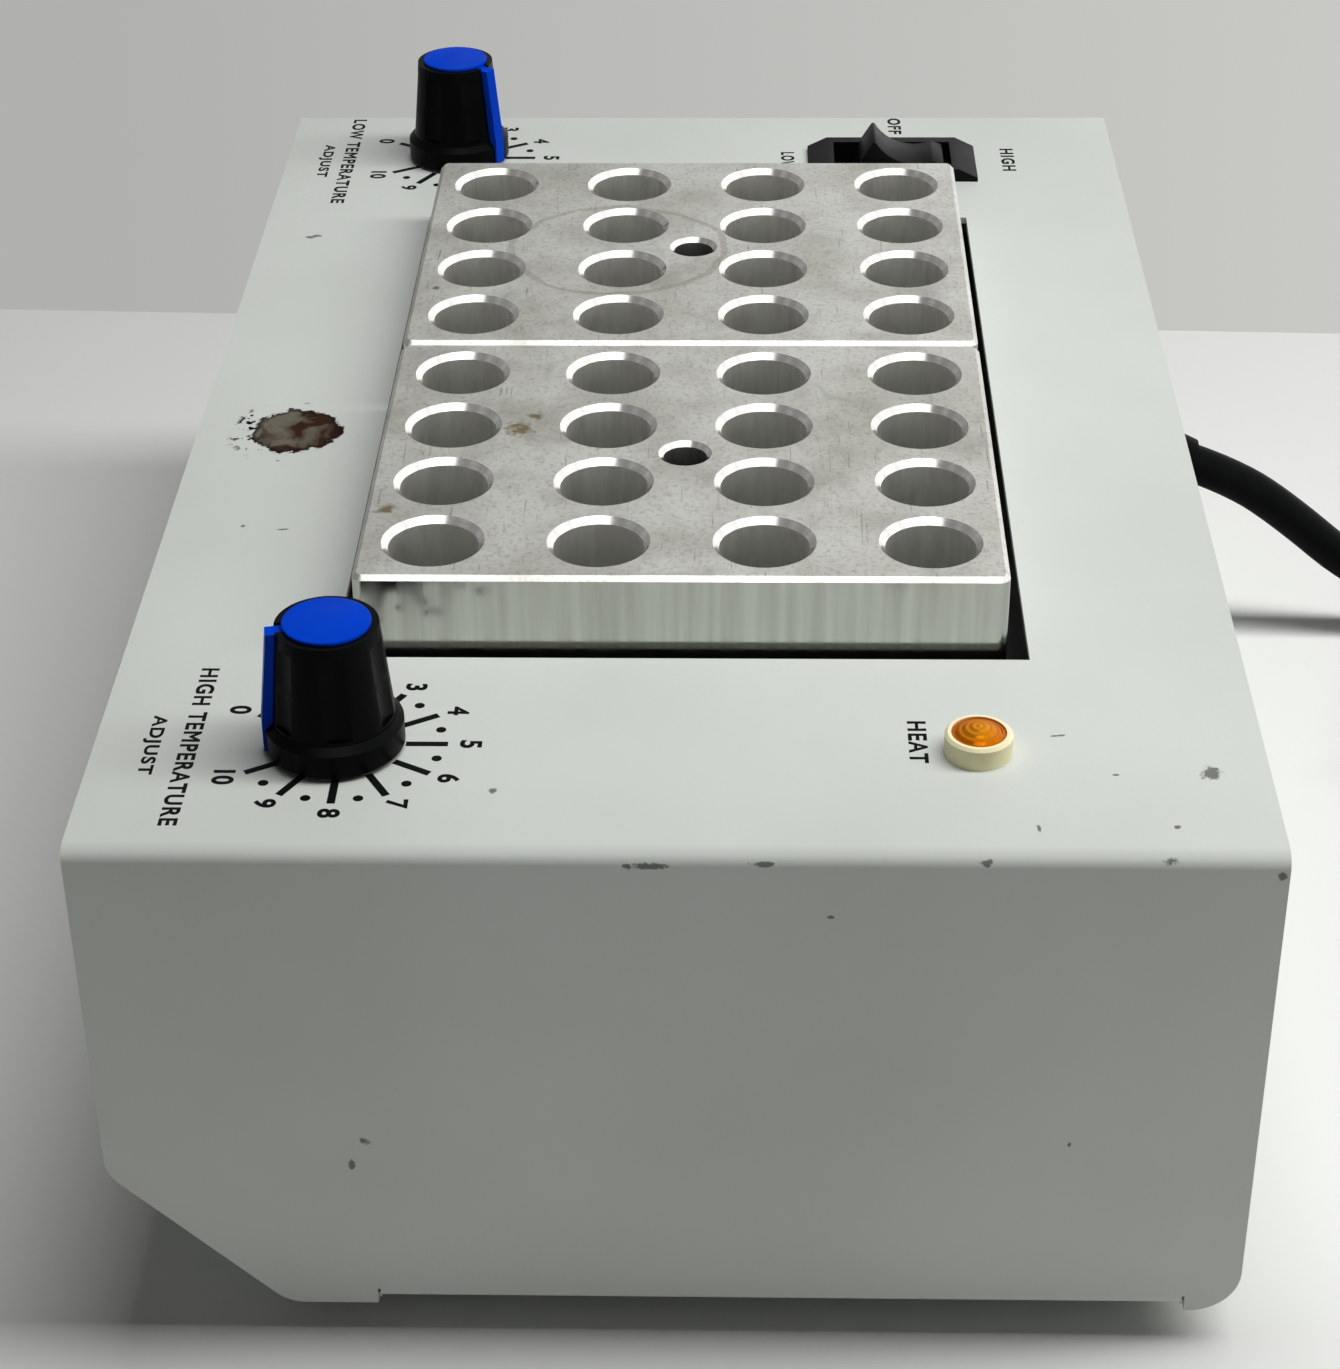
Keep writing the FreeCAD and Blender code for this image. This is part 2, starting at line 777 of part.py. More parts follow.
def make_feet():
    """Rubber feet with a recess for the screw that holds each, and those screws."""
    recess = size("foot_recess_depth")
    for side, x_side, y_side in CORNERS:
        x, y = foot_spot(x_side, y_side)
        body = new_body(f"foot_body_{side}")
        profile = new_sketch(body, f"foot_profile_{side}", "XZ_Plane")
        bore = size("screw_across") / 2 + size("screw_play")
        draw_outline(
            profile,
            [
                (bore, recess),
                (bore, foot_height),
                (size("foot_across") / 2, foot_height),
                (size("foot_tip_across") / 2, 0),
                (size("foot_recess_across") / 2, 0),
                (size("foot_recess_across") / 2, recess),
            ],
        )
        revolve(body, f"foot_turn_{side}", profile)
        piece(place(body, x, y, 0), f"foot_{side}")

        head_low = recess - size("screw_head_height")
        head = rod(f"screw_head_{side}", size("screw_head_across"), size("screw_head_height"), x, y, head_low)
        shank = rod(f"screw_shank_{side}", size("screw_across"), size("screw_reach"), x, y, recess)
        long_half = size("cross_length") / 2
        short_half = size("cross_width") / 2
        cross_top = head_low + size("cross_depth")
        bars = [
            box(f"screw_{way}_{side}", x - along, x + along, y - across, y + across, 0 * recess, cross_top)
            for way, along, across in (("slot", long_half, short_half), ("cross", short_half, long_half))
        ]
        screw = joined(f"screw_whole_{side}", [head, shank])
        piece(trimmed(f"screw_{side}", screw, bars), f"foot_screw_{side}")


# The well and its heater


def make_well_liner():
    """The bent sheet that lines the well between the top panel and the heater plate."""
    body = new_body("liner_body")
    length = half_liner_length + size("liner_sheet")
    width = half_liner_width + size("liner_sheet")
    outside = new_sketch(body, "liner_outside", offset=plate_top)
    draw_rectangle(outside, well_middle - length, well_middle + length, -width, width)
    pad(body, "liner_tube", outside, under_top - plate_top)
    inside = new_sketch(body, "liner_inside", offset=under_top)
    draw_rectangle(
        inside,
        well_middle - half_liner_length,
        well_middle + half_liner_length,
        -half_liner_width,
        half_liner_width,
    )
    tube = pocket(body, "liner_bore", inside, under_top - plate_top)
    bends = straight_edges(tube, Z_AXIS, lambda at: near(abs(at.y), half_liner_width))
    tube = round_edges(body, "liner_inner_bends", bends, size("liner_round") - size("liner_sheet"))
    bends = straight_edges(tube, Z_AXIS, lambda at: near(abs(at.y), width))
    round_edges(body, "liner_outer_bends", bends, size("liner_round"))
    piece(body, "well_liner")


def make_heater_plate():
    """The aluminium plate that the blocks stand on, tapped from below, with a bore for the sensor."""
    body = new_body("plate_body")
    plan = new_sketch(body, "plate_plan", offset=plate_low)
    draw_rectangle(
        plan,
        well_middle - half_plate_length,
        well_middle + half_plate_length,
        -half_plate_width,
        half_plate_width,
    )
    pad(body, "plate_slab", plan, size("plate_thickness"))
    taps = new_sketch(body, "plate_tap_plan", offset=plate_low)
    for _, x_side, y_side in CORNERS:
        x = well_middle + x_side * clamp_screw_out
        draw_circle(
            taps, x, y_side * clamp_screw_aside, size("clamp_screw_across") / 2 + size("screw_play")
        )
    tap_depth = size("clamp_screw_grip") + size("screw_play")
    pocket(body, "plate_taps", taps, tap_depth, reversed_way=True)
    sensor = new_sketch(body, "plate_sensor_plan", "YZ_Plane", offset=well_middle - half_plate_length)
    sensor_radius = size("sensor_across") / 2 + size("sensor_play")
    draw_circle(sensor, size("sensor_back"), plate_low + size("plate_thickness") / 2, sensor_radius)
    pocket(
        body, "plate_sensor_bore", sensor, size("sensor_depth") + size("sensor_play"), reversed_way=True
    )
    piece(body, "heater_plate")


def screw_bores(name, low, height, across):
    """Upright rods at the clamp screws, to cut their clearances with."""
    return [
        rod(
            f"{name}_{side}",
            across,
            height,
            well_middle + x_side * clamp_screw_out,
            y_side * clamp_screw_aside,
            low,
        )
        for side, x_side, y_side in CORNERS
    ]


def make_heater():
    """The flat element under the heater plate, the plate that clamps it there and the clamp's screws."""
    half = half_plate_length - size("element_margin")
    aside = half_plate_width - size("element_margin")
    slab = box("element_slab", well_middle - half, well_middle + half, -aside, aside, element_low, plate_low)
    tabs = [
        box(
            f"element_tab_{number}",
            well_middle + half - size("tab_width"),
            well_middle + half + size("tab_length"),
            spot - size("tab_width") / 2,
            spot + size("tab_width") / 2,
            element_low,
            plate_low,
        )
        for number, spot in enumerate((-aside / 3, aside / 3))
    ]
    bore = size("clamp_screw_across") + 2 * size("screw_play")
    element = joined("element_whole", [slab] + tabs)
    piece(
        trimmed("element", element, screw_bores("element_bore", element_low, size("element_thickness"), bore)),
        "heater_element",
    )

    half = half_plate_length - size("clamp_margin")
    aside = half_plate_width - size("clamp_margin")
    slab = box("clamp_slab", well_middle - half, well_middle + half, -aside, aside, clamp_low, element_low)
    piece(
        trimmed("clamp", slab, screw_bores("clamp_bore", clamp_low, size("clamp_thickness"), bore)),
        "clamp_plate",
    )

    head_low = clamp_low - size("clamp_head_height")
    reach = plate_low + size("clamp_screw_grip") - clamp_low
    heads = screw_bores("clamp_head", head_low, size("clamp_head_height"), size("clamp_head_across"))
    shanks = screw_bores("clamp_shank", clamp_low, reach, size("clamp_screw_across"))
    for (side, _, _), head, shank in zip(CORNERS, heads, shanks):
        piece(joined(f"clamp_fastener_{side}", [head, shank]), f"clamp_screw_{side}")


def make_insulation():
    """The fibre pad under the heater, the fibre ring around the well, and the folded pan that holds both."""
    slab = box(
        "pad_slab",
        well_middle - half_ring_length,
        well_middle + half_ring_length,
        -half_ring_width,
        half_ring_width,
        pad_low,
        clamp_low,
    )
    head_room = size("clamp_head_height") + size("screw_play")
    head_across = size("clamp_head_across") + 2 * size("screw_play")
    pockets = screw_bores("pad_pocket", clamp_low - head_room, head_room, head_across)
    room = rod(
        "pad_cutout_room",
        size("cutout_across") + size("cutout_room"),
        size("pad_thickness"),
        well_middle,
        0,
        pad_low,
    )
    piece(trimmed("pad", slab, pockets + [room]), "insulation_pad")

    outside = box(
        "ring_outside",
        well_middle - half_ring_length,
        well_middle + half_ring_length,
        -half_ring_width,
        half_ring_width,
        clamp_low,
        under_top - size("ring_gap"),
    )
    half = half_plate_length + size("ring_gap")
    aside = half_plate_width + size("ring_gap")
    inside = box(
        "ring_inside", well_middle - half, well_middle + half, -aside, aside, clamp_low, under_top
    )
    sensor_bore = rod(
        "ring_sensor_bore",
        size("sensor_across") + 2 * size("sensor_play"),
        size("ring_wall") + size("ring_gap") + size("ring_gap"),
        well_middle - half_ring_length - size("ring_gap"),
        size("sensor_back"),
        plate_low + size("plate_thickness") / 2,
        Y_AXIS,
        90,
    )
    piece(trimmed("ring", outside, [inside, sensor_bore]), "insulation_ring")

    body = new_body("pan_body")
    plan = new_sketch(body, "pan_plan", offset=pan_low)
    draw_rectangle(
        plan,
        well_middle - half_pan_length,
        well_middle + half_pan_length,
        -half_pan_width,
        half_pan_width,
    )
    block = pad(body, "pan_block", plan, size("pan_depth"))
    round_edges(body, "pan_bends", straight_edges(block, Z_AXIS, lambda at: True), size("pan_round"))
    flange_plan = new_sketch(body, "pan_flange_plan", offset=pan_top)
    flange_half = half_pan_length - size("pan_flange_inset")
    flange_out = half_pan_width + size("pan_flange")
    draw_rectangle(flange_plan, well_middle - flange_half, well_middle + flange_half, -flange_out, flange_out)
    pad(body, "pan_flanges", flange_plan, size("pan_sheet"), downwards=True)
    hollow_plan = new_sketch(body, "pan_hollow_plan", offset=pan_top)
    half = half_pan_length - size("pan_sheet")
    aside = half_pan_width - size("pan_sheet")
    draw_rectangle(hollow_plan, well_middle - half, well_middle + half, -aside, aside)
    hollow = pocket(body, "pan_hollow", hollow_plan, size("pan_depth") - size("pan_sheet"))
    bends = straight_edges(hollow, Z_AXIS, lambda at: near(abs(at.y), aside))
    round_edges(body, "pan_inner_bends", bends, size("pan_gap"))
    stud_holes = new_sketch(body, "pan_stud_holes", offset=pan_top)
    for _, x_side, y_side in CORNERS:
        draw_circle(
            stud_holes,
            well_middle + x_side * stud_along,
            y_side * stud_out,
            size("stud_across") / 2 + size("screw_play"),
        )
    pocket(body, "pan_stud_clearances", stud_holes, size("pan_sheet"))
    sensor_hole = new_sketch(body, "pan_sensor_hole", "YZ_Plane", offset=well_middle - half)
    sensor_radius = size("sensor_across") / 2 + size("sensor_play")
    draw_circle(sensor_hole, size("sensor_back"), plate_low + size("plate_thickness") / 2, sensor_radius)
    pocket(body, "pan_sensor_opening", sensor_hole, size("pan_sheet"))
    piece(body, "insulation_pan")


def hex_nut(name, across, height, bore, x, y, z):
    """A six-sided nut by its width across flats."""
    prism = document.addObject("Part::Prism", f"{name}_prism")
    prism.Polygon = 6
    bind(prism, Circumradius=across / math.sqrt(3), Height=height)
    place(prism, x, y, z)
    return trimmed(name, prism, [rod(f"{name}_bore", bore, height, x, y, z)])


def make_pan_nuts():
    """The nuts that hold the pan's flanges to the cover's studs."""
    low = pan_top - size("pan_sheet") - size("nut_height")
    bore = size("stud_across") + 2 * size("screw_play")
    for side, x_side, y_side in CORNERS:
        x = well_middle + x_side * stud_along
        nut = hex_nut(f"nut_{side}", size("nut_across"), size("nut_height"), bore, x, y_side * stud_out, low)
        piece(nut, f"pan_nut_{side}")


# The heating blocks


def drilled(body, name, sketch, bore, rim, depth):
    """A blind drilled hole with a bevelled rim and a drill point."""
    hole = body.newObject("PartDesign::Hole", name)
    hole.Profile = sketch
    document.recompute()
    hole.ThreadType = "None"
    hole.HoleCutType = "Countersink"
    hole.HoleCutCustomValues = True
    hole.DepthType = "Dimension"
    hole.DrillPoint = "Angled"
    hole.DrillPointAngle = 118
    hole.HoleCutCountersinkAngle = 90
    bind(hole, Diameter=bore, HoleCutDiameter=rim, Depth=depth)
    document.recompute()
    return hole


def make_heating_blocks():
    """Two aluminium blocks, each drilled with a grid of tube bores and one thermometer well."""
    height = size("block_height")
    half_depth = block_depth / 2
    half_across = block_width / 2
    for side, way in (("left", -1), ("right", 1)):
        body = new_body(f"block_body_{side}")
        plan = new_sketch(body, f"block_plan_{side}")
        draw_rectangle(plan, -half_depth, half_depth, -half_across, half_across)
        blank = pad(body, f"block_blank_{side}", plan, height)
        upright = straight_edges(blank, Z_AXIS, lambda at: True)
        blank = round_edges(body, f"block_corners_{side}", upright, size("block_corner_round"))
        rim = [f"Edge{n}" for n, edge in enumerate(blank.Shape.Edges, 1) if near(edge.BoundBox.ZMin, height)]
        bevel_edges(body, f"block_bevel_{side}", rim, size("block_edge"))

        first = new_sketch(body, f"block_first_bore_{side}", offset=height)
        grid_deep = block_depth - size("tube_edge_deep") * 2
        grid_wide = block_width - size("tube_edge_wide") * 2
        draw_circle(first, -grid_deep / 2, -grid_wide / 2, size("tube_bore") / 2)
        bore = drilled(
            body, f"block_bore_{side}", first, size("tube_bore"), size("tube_rim"), size("tube_depth")
        )
        grid = body.newObject("PartDesign::LinearPattern", f"block_bores_{side}")
        grid.Originals = [bore]
        grid.Direction = (first, ["H_Axis"])
        grid.Direction2 = (first, ["V_Axis"])
        grid.Mode = "Extent"
        grid.Mode2 = "Extent"
        grid.Occurrences = count("tube_columns")
        grid.Occurrences2 = count("tube_rows")
        bind(grid, Length=grid_deep, Length2=grid_wide)
        body.Tip = grid
        document.recompute()
        middle = new_sketch(body, f"block_middle_{side}", offset=height)
        draw_circle(middle, 0, 0, size("thermometer_bore") / 2)
        drilled(
            body,
            f"block_thermometer_{side}",
            middle,
            size("thermometer_bore"),
            size("thermometer_rim"),
            size("thermometer_depth"),
        )
        x = well_middle + way * (block_depth + size("block_gap")) / 2
        piece(place(body, x, 0, plate_top + size("block_rest_gap")), f"heating_block_{side}")


# The dials


def make_knob(dial, x, y):
    """A fluted knob body with a skirt, and the cap whose pointer fin runs down its side to the skirt. The
    fin is drawn towards -X and turned to where the dial points."""
    turn = size(f"{dial}_pointer_angle") - 180
    lift = size("knob_lift")
    height = size("knob_height")
    cavity_top = size("bushing_rise") + size("nut_cavity_gap")
    shoulder = lift + size("skirt_height")
    bore_top = height - size("shaft_top_cover") + size("nut_cavity_gap")
    seat = height - size("cap_seat")
    bore = size("shaft_across") / 2 + size("shaft_grip")

    body = new_body(f"knob_body_{dial}")
    profile = new_sketch(body, f"knob_profile_{dial}", "XZ_Plane")
    draw_outline(
        profile,
        [
            (size("nut_cavity_across") / 2, lift),
            (size("skirt_across") / 2, lift),
            (size("skirt_across") / 2, shoulder - size("skirt_edge")),
            (size("skirt_across") / 2 - size("skirt_edge"), shoulder),
            (size("grip_foot_across") / 2, shoulder),
            (size("grip_top_across") / 2, height - size("cap_proud")),
            (size("cap_across") / 2, height - size("cap_proud")),
            (size("cap_across") / 2, seat),
            (0, seat),
            (0, bore_top),
            (bore, bore_top),
            (bore, cavity_top),
            (size("nut_cavity_across") / 2, cavity_top),
        ],
    )
    revolve(body, f"knob_turned_{dial}", profile)
    flute_low = shoulder + size("skirt_edge") / 2
    flute_plan = new_sketch(body, f"knob_flute_plan_{dial}", offset=flute_low)
    flute_out = size("grip_foot_across") / 2 - size("flute_depth") + size("flute_round")
    draw_circle(flute_plan, 0, flute_out, size("flute_round"))
    flute_length = height - size("flute_rim") - flute_low
    flute = pocket(
        body, f"knob_flute_{dial}", flute_plan, flute_length, reversed_way=True, lean=size("flute_lean")
    )
    flutes = body.newObject("PartDesign::PolarPattern", f"knob_flutes_{dial}")
    flutes.Originals = [flute]
    flutes.Axis = (flute_plan, ["N_Axis"])
    flutes.Angle = 360
    bind(flutes, Occurrences=count("flute_count"))
    body.Tip = flutes
    document.recompute()
    half_fin = size("pointer_width") / 2
    slot = new_sketch(body, f"knob_slot_plan_{dial}", offset=lift)
    draw_rectangle(slot, -size("skirt_across"), -size("pointer_root"), -half_fin, half_fin)
    pocket(body, f"knob_slot_{dial}", slot, seat - lift, reversed_way=True)
    rim_slot = new_sketch(body, f"knob_rim_slot_plan_{dial}", offset=seat)
    draw_rectangle(rim_slot, -size("skirt_across"), -size("cap_across") / 3, -half_fin, half_fin)
    pocket(body, f"knob_rim_slot_{dial}", rim_slot, height - seat, reversed_way=True)
    piece(place(body, x, y, top, Z_AXIS, turn), f"{dial}_knob")

    cap = new_body(f"cap_body_{dial}")
    disc = new_sketch(cap, f"cap_plan_{dial}", offset=seat)
    draw_circle(disc, 0, 0, size("cap_across") / 2)
    disc_pad = pad(cap, f"cap_disc_{dial}", disc, size("cap_seat"))
    rim = [f"Edge{n}" for n, edge in enumerate(disc_pad.Shape.Edges, 1) if near(edge.BoundBox.ZMin, height)]
    round_edges(cap, f"cap_edge_{dial}", rim, size("cap_proud") / 2)
    fin = new_sketch(cap, f"cap_fin_profile_{dial}", "XZ_Plane")
    fin_top = height - size("pointer_drop")
    draw_outline(
        fin,
        [
            (-size("cap_across") / 3, seat),
            (-size("cap_across") / 3, fin_top),
            (-size("pointer_top_reach"), fin_top),
            (-size("pointer_foot_reach"), shoulder),
            (-size("pointer_foot_reach"), lift),
            (-size("nut_cavity_across") / 2, lift),
            (-size("nut_cavity_across") / 2, cavity_top),
            (-size("pointer_root"), cavity_top),
            (-size("pointer_root"), seat),
        ],
    )
    pad(cap, f"cap_fin_{dial}", fin, size("pointer_width"), both_ways=True)
    piece(place(cap, x, y, top, Z_AXIS, turn), f"{dial}_knob_cap")


def make_control(dial, x, y):
    """The rotary control under a knob: its body with the threaded bushing, its shaft and its panel nut."""
    control_low = under_top - size("control_depth")
    can = rod(f"control_can_{dial}", size("control_across"), size("control_depth"), x, y, control_low)
    bushing_length = cover_sheet + size("bushing_rise")
    bushing = rod(f"control_bushing_{dial}", size("bushing_across"), bushing_length, x, y, under_top)
    tags = []
    for number in (-1, 0, 1):
        spot = y + number * 2 * size("control_tag_width")
        tags.append(
            box(
                f"control_tag_{dial}_{number + 1}",
                x,
                x + size("control_across") / 2 + size("control_tag_length"),
                spot - size("control_tag_width") / 2,
                spot + size("control_tag_width") / 2,
                control_low,
                control_low + size("control_tag_thickness"),
            )
        )
    bore = rod(
        f"control_bore_{dial}",
        size("shaft_across") + 2 * size("shaft_play"),
        size("shaft_drop") + size("shaft_play") + size("bushing_rise"),
        x,
        y,
        top - size("shaft_drop") - size("shaft_play"),
    )
    body = joined(f"control_whole_{dial}", [can, bushing] + tags)
    piece(trimmed(f"control_{dial}", body, [bore]), f"{dial}_control_body")
    shaft_length = size("shaft_drop") + size("knob_height") - size("shaft_top_cover")
    shaft = rod(f"shaft_{dial}", size("shaft_across"), shaft_length, x, y, top - size("shaft_drop"))
    piece(shaft, f"{dial}_control_shaft")
    nut = hex_nut(
        f"control_nut_{dial}",
        size("control_nut_across"),
        size("control_nut_height"),
        size("bushing_across") + 2 * size("shaft_grip"),
        x,
        y,
        top,
    )
    piece(nut, f"{dial}_control_nut")


# The switch


def make_switch():
    """The switch housing with its sloped bezel, and the peaked rocker that tilts in it."""
    body = new_body("housing_body")
    bezel = new_sketch(body, "bezel_profile", "YZ_Plane")
    half_bezel = size("bezel_width") / 2
    half_flat = size("bezel_flat") / 2
    draw_outline(
        bezel,
        [
            (-half_bezel, 0),
            (half_bezel, 0),
            (half_bezel, size("bezel_lip")),
            (half_flat, size("bezel_height")),
            (-half_flat, size("bezel_height")),
            (-half_bezel, size("bezel_lip")),
        ],
    )
    pad(body, "bezel", bezel, size("bezel_depth"), both_ways=True)
    shell = new_sketch(body, "housing_plan")
    half_depth = size("housing_depth") / 2
    half_housing = size("housing_width") / 2
    draw_rectangle(shell, -half_depth, half_depth, -half_housing, half_housing)
    pad(body, "housing_box", shell, size("housing_drop"), downwards=True)
    catch = new_sketch(body, "catch_profile", "YZ_Plane")
    catch_top = -cover_sheet - size("housing_play")
    for side in (-1, 1):
        draw_outline(
            catch,
            [
                (side * (half_housing - size("catch_reach")), catch_top),
                (side * (half_housing + size("catch_reach")), catch_top),
                (side * half_housing, catch_top - size("catch_height")),
                (side * (half_housing - size("catch_reach")), catch_top - size("catch_height")),
            ],
        )
    pad(body, "housing_catches", catch, size("catch_width"), both_ways=True)
    well = new_sketch(body, "rocker_well_plan", offset=size("bezel_height"))
    half_well = size("rocker_half_width") + size("rocker_gap")
    well_depth = size("rocker_depth") / 2 + size("rocker_side_gap")
    draw_rectangle(well, -well_depth, well_depth, -half_well, half_well)
    pocket(body, "rocker_well", well, size("bezel_height") + size("rocker_well_drop"))
    pivots = new_sketch(body, "pivot_plan", "YZ_Plane")
    draw_circle(
        pivots, 0, -size("rocker_pivot_drop"), size("trunnion_across") / 2 + size("trunnion_play")
    )
    pivot_reach = size("rocker_depth") + 2 * (size("trunnion_reach") + size("trunnion_play"))
    pocket(body, "pivot_sockets", pivots, pivot_reach, both_ways=True)
    piece(place(body, switch_x, switch_y, top), "switch_housing")

    rocker = new_body("rocker_body")
    outline = new_sketch(rocker, "rocker_outline", "YZ_Plane")
    end = size("rocker_half_width")
    side_end = end - size("rocker_side_draft")
    draw_outline(
        outline,
        [
            (0, size("rocker_ridge")),
            (end, size("rocker_end_rise")),
            (side_end, -size("rocker_side_drop")),
            (size("rocker_hub"), -size("rocker_hub_drop")),
            (-size("rocker_hub"), -size("rocker_hub_drop")),
            (-side_end, -size("rocker_side_drop")),
            (-end, size("rocker_end_rise")),
        ],
    )
    pad(rocker, "rocker_bar", outline, size("rocker_depth"), both_ways=True)
    scoops = new_sketch(rocker, "rocker_scoop_plan", "YZ_Plane")
    draw_circle(scoops, size("rocker_scoop_out"), size("rocker_scoop_up"), size("rocker_scoop_round"))
    pocket(rocker, "rocker_scoop_high", scoops, size("rocker_depth") + 1, both_ways=True)
    scoops = new_sketch(rocker, "rocker_scoop_plan_low", "YZ_Plane")
    draw_circle(scoops, -size("rocker_scoop_out"), size("rocker_scoop_up"), size("rocker_scoop_round"))
    pocket(rocker, "rocker_scoop_low", scoops, size("rocker_depth") + 1, both_ways=True)
    trunnion = new_sketch(rocker, "trunnion_plan", "YZ_Plane")
    draw_circle(trunnion, 0, 0, size("trunnion_across") / 2)
    pad(rocker, "trunnions", trunnion, size("rocker_depth") + 2 * size("trunnion_reach"), both_ways=True)
    place(rocker, switch_x, switch_y, top - size("rocker_pivot_drop"), X_AXIS, size("rocker_tilt"))
    piece(rocker, "switch_rocker")


# The heat lamp


def make_lamp():
    """An ivory bezel with its stem, a ringed amber lens and the spring clip under the panel."""
    body = new_body("lamp_body")
    profile = new_sketch(body, "lamp_profile", "XZ_Plane")
    bore = size("lamp_bore") / 2
    rim = size("lamp_across") / 2
    stem = size("lamp_stem_across") / 2
    seat = size("lens_across") / 2 + size("shaft_grip")
    draw_outline(
        profile,
        [
            (bore, -size("lamp_stem_drop")),
            (stem, -size("lamp_stem_drop")),
            (stem, 0),
            (rim, 0),
            (rim, size("lamp_height") - size("lamp_edge")),
            (rim - size("lamp_edge"), size("lamp_height")),
            (seat, size("lamp_height")),
            (seat, size("lens_seat")),
            (bore, size("lens_seat")),
        ],
    )
    revolve(body, "lamp_turned", profile)
    piece(place(body, lamp_x, lamp_y, top), "lamp_bezel")

    lens = new_body("lens_body")
    profile = new_sketch(lens, "lens_profile", "XZ_Plane")
    radius = size("lens_across") / 2
    rings = count("lens_rings")
    rim_height = size("lamp_height") - size("lens_ring_step")
    corners = [(0, size("lens_seat")), (radius, size("lens_seat")), (radius, rim_height)]
    for ring in range(1, rings + 1):
        crest = radius * ((rings - ring) / rings)
        height = rim_height + size("lens_dome") * (ring / rings)
        corners.append((crest, height + size("lens_ring_step")))
        if ring < rings:
            corners.append((crest, height))
    draw_outline(profile, corners)
    revolve(lens, "lens_turned", profile)
    piece(place(lens, lamp_x, lamp_y, top), "lamp_lens")

    clip_low = under_top - size("clip_height")
    ring = rod("clip_ring", size("clip_across"), size("clip_height"), lamp_x, lamp_y, clip_low)
    clip_bore = size("lamp_stem_across") + 2 * size("shaft_grip")
    hole = rod("clip_hole", clip_bore, size("clip_height"), lamp_x, lamp_y, clip_low)
    piece(trimmed("clip", ring, [hole]), "lamp_clip")


# The electronics


def make_board():
    """The control board on four standoffs from the back wall, with its triac, heat sink and terminals."""
    wall = half_width - wrap_sheet
    board_back = wall - size("standoff_length")
    board_front = board_back - size("board_thickness")
    low = size("board_bottom")
    left = size("board_right") - size("board_length") / 2
    right = size("board_right") + size("board_length") / 2
    high = low + size("board_height")
    piece(box("board", left, right, board_front, board_back, low, high), "circuit_board")
    inset = size("standoff_inset")
    corners = [(left + inset, low + inset), (right - inset, low + inset)]
    corners += [(right - inset, high - inset), (left + inset, high - inset)]
    for number, (x, z) in enumerate(corners, 1):
        post = rod(
            f"standoff_{number}", size("standoff_across"), size("standoff_length"), x, wall, z, X_AXIS, 90
        )
        piece(post, f"board_standoff_{number}")

    sink_low = size("sink_bottom")
    sink_left = size("sink_right") - size("sink_width") / 2
    sink_right = size("sink_right") + size("sink_width") / 2
    sink_front = board_front - size("sink_depth")
    sink_wall = size("sink_wall")
    solid = box(
        "sink_solid", sink_left, sink_right, sink_front, board_front, sink_low, sink_low + size("sink_height")
    )
    channel = box(
        "sink_channel",
        sink_left + sink_wall,
        sink_right - sink_wall,
        sink_front,
        board_front - sink_wall,
        sink_low,
        sink_low + size("sink_height"),
    )
    piece(trimmed("sink", solid, [channel]), "heat_sink")
    triac_back = board_front - sink_wall
    half_triac = size("triac_width") / 2
    triac_low = sink_low + size("triac_gap")
    case = box(
        "triac_case",
        size("sink_right") - half_triac,
        size("sink_right") + half_triac,
        triac_back - size("triac_thickness"),
        triac_back,
        triac_low,
        triac_low + size("triac_height") * 0.6,
    )
    tab = box(
        "triac_tab",
        size("sink_right") - half_triac,
        size("sink_right") + half_triac,
        triac_back - sink_wall,
        triac_back,
        triac_low,
        triac_low + size("triac_height"),
    )
    piece(joined("triac_whole", [case, tab]), "triac")

    terminal_left = size("terminal_right") - size("terminal_width") / 2
    terminal_top = low + size("terminal_height")
    shell = box(
        "terminal_shell",
        terminal_left,
        size("terminal_right") + size("terminal_width") / 2,
        board_front - size("terminal_depth"),
        board_front,
        low,
        terminal_top,
    )
    ways = count("terminal_ways")
    holes = [
        rod(
            f"terminal_hole_{number}",
            size("terminal_hole"),
            size("terminal_height") / 2,
            terminal_left + size("terminal_width") * ((number + 0.5) / ways),
            board_front - size("terminal_depth") / 2,
            terminal_top - size("terminal_height") / 2,
        )
        for number in range(ways)
    ]
    piece(trimmed("terminal", shell, holes), "terminal_block")


def make_sensors():
    """The temperature sensor in the heater plate's edge, and the thermal cut-out under the clamp plate."""
    probe = rod(
        "sensor_probe",
        size("sensor_across"),
        size("sensor_length"),
        well_middle - half_plate_length + size("sensor_depth") - size("sensor_length"),
        size("sensor_back"),
        plate_low + size("plate_thickness") / 2,
        Y_AXIS,
        90,
    )
    piece(probe, "temperature_sensor")
    cutout_low = clamp_low - size("cutout_height")
    can = rod("cutout_can", size("cutout_across"), size("cutout_height"), well_middle, 0, cutout_low)
    piece(can, "thermal_cutout")


# The lead


def route_wire(points):
    """Straight runs joined by arcs as large as the runs allow. Returns the wire and the arcs' radii."""
    edges = []
    radii = []
    start = points[0]
    for before, corner, after in zip(points, points[1:], points[2:]):
        arriving = (corner - before).normalize()
        leaving = (after - corner).normalize()
        shorter = min((corner - before).Length, (after - corner).Length)
        half_turn = arriving.getAngle(leaving) / 2
        setback = 0.45 * shorter
        radius = setback / math.tan(half_turn)
        radii.append(radius)
        arc_start = corner - arriving * setback
        arc_end = corner + leaving * setback
        inward = (leaving - arriving).normalize()
        middle = corner + inward * (radius / math.cos(half_turn) - radius)
        edges.append(Part.LineSegment(start, arc_start).toShape())
        edges.append(Part.Arc(arc_start, middle, arc_end).toShape())
        start = arc_end
    edges.append(Part.LineSegment(start, points[-1]).toShape())
    return Part.Wire(edges), radii


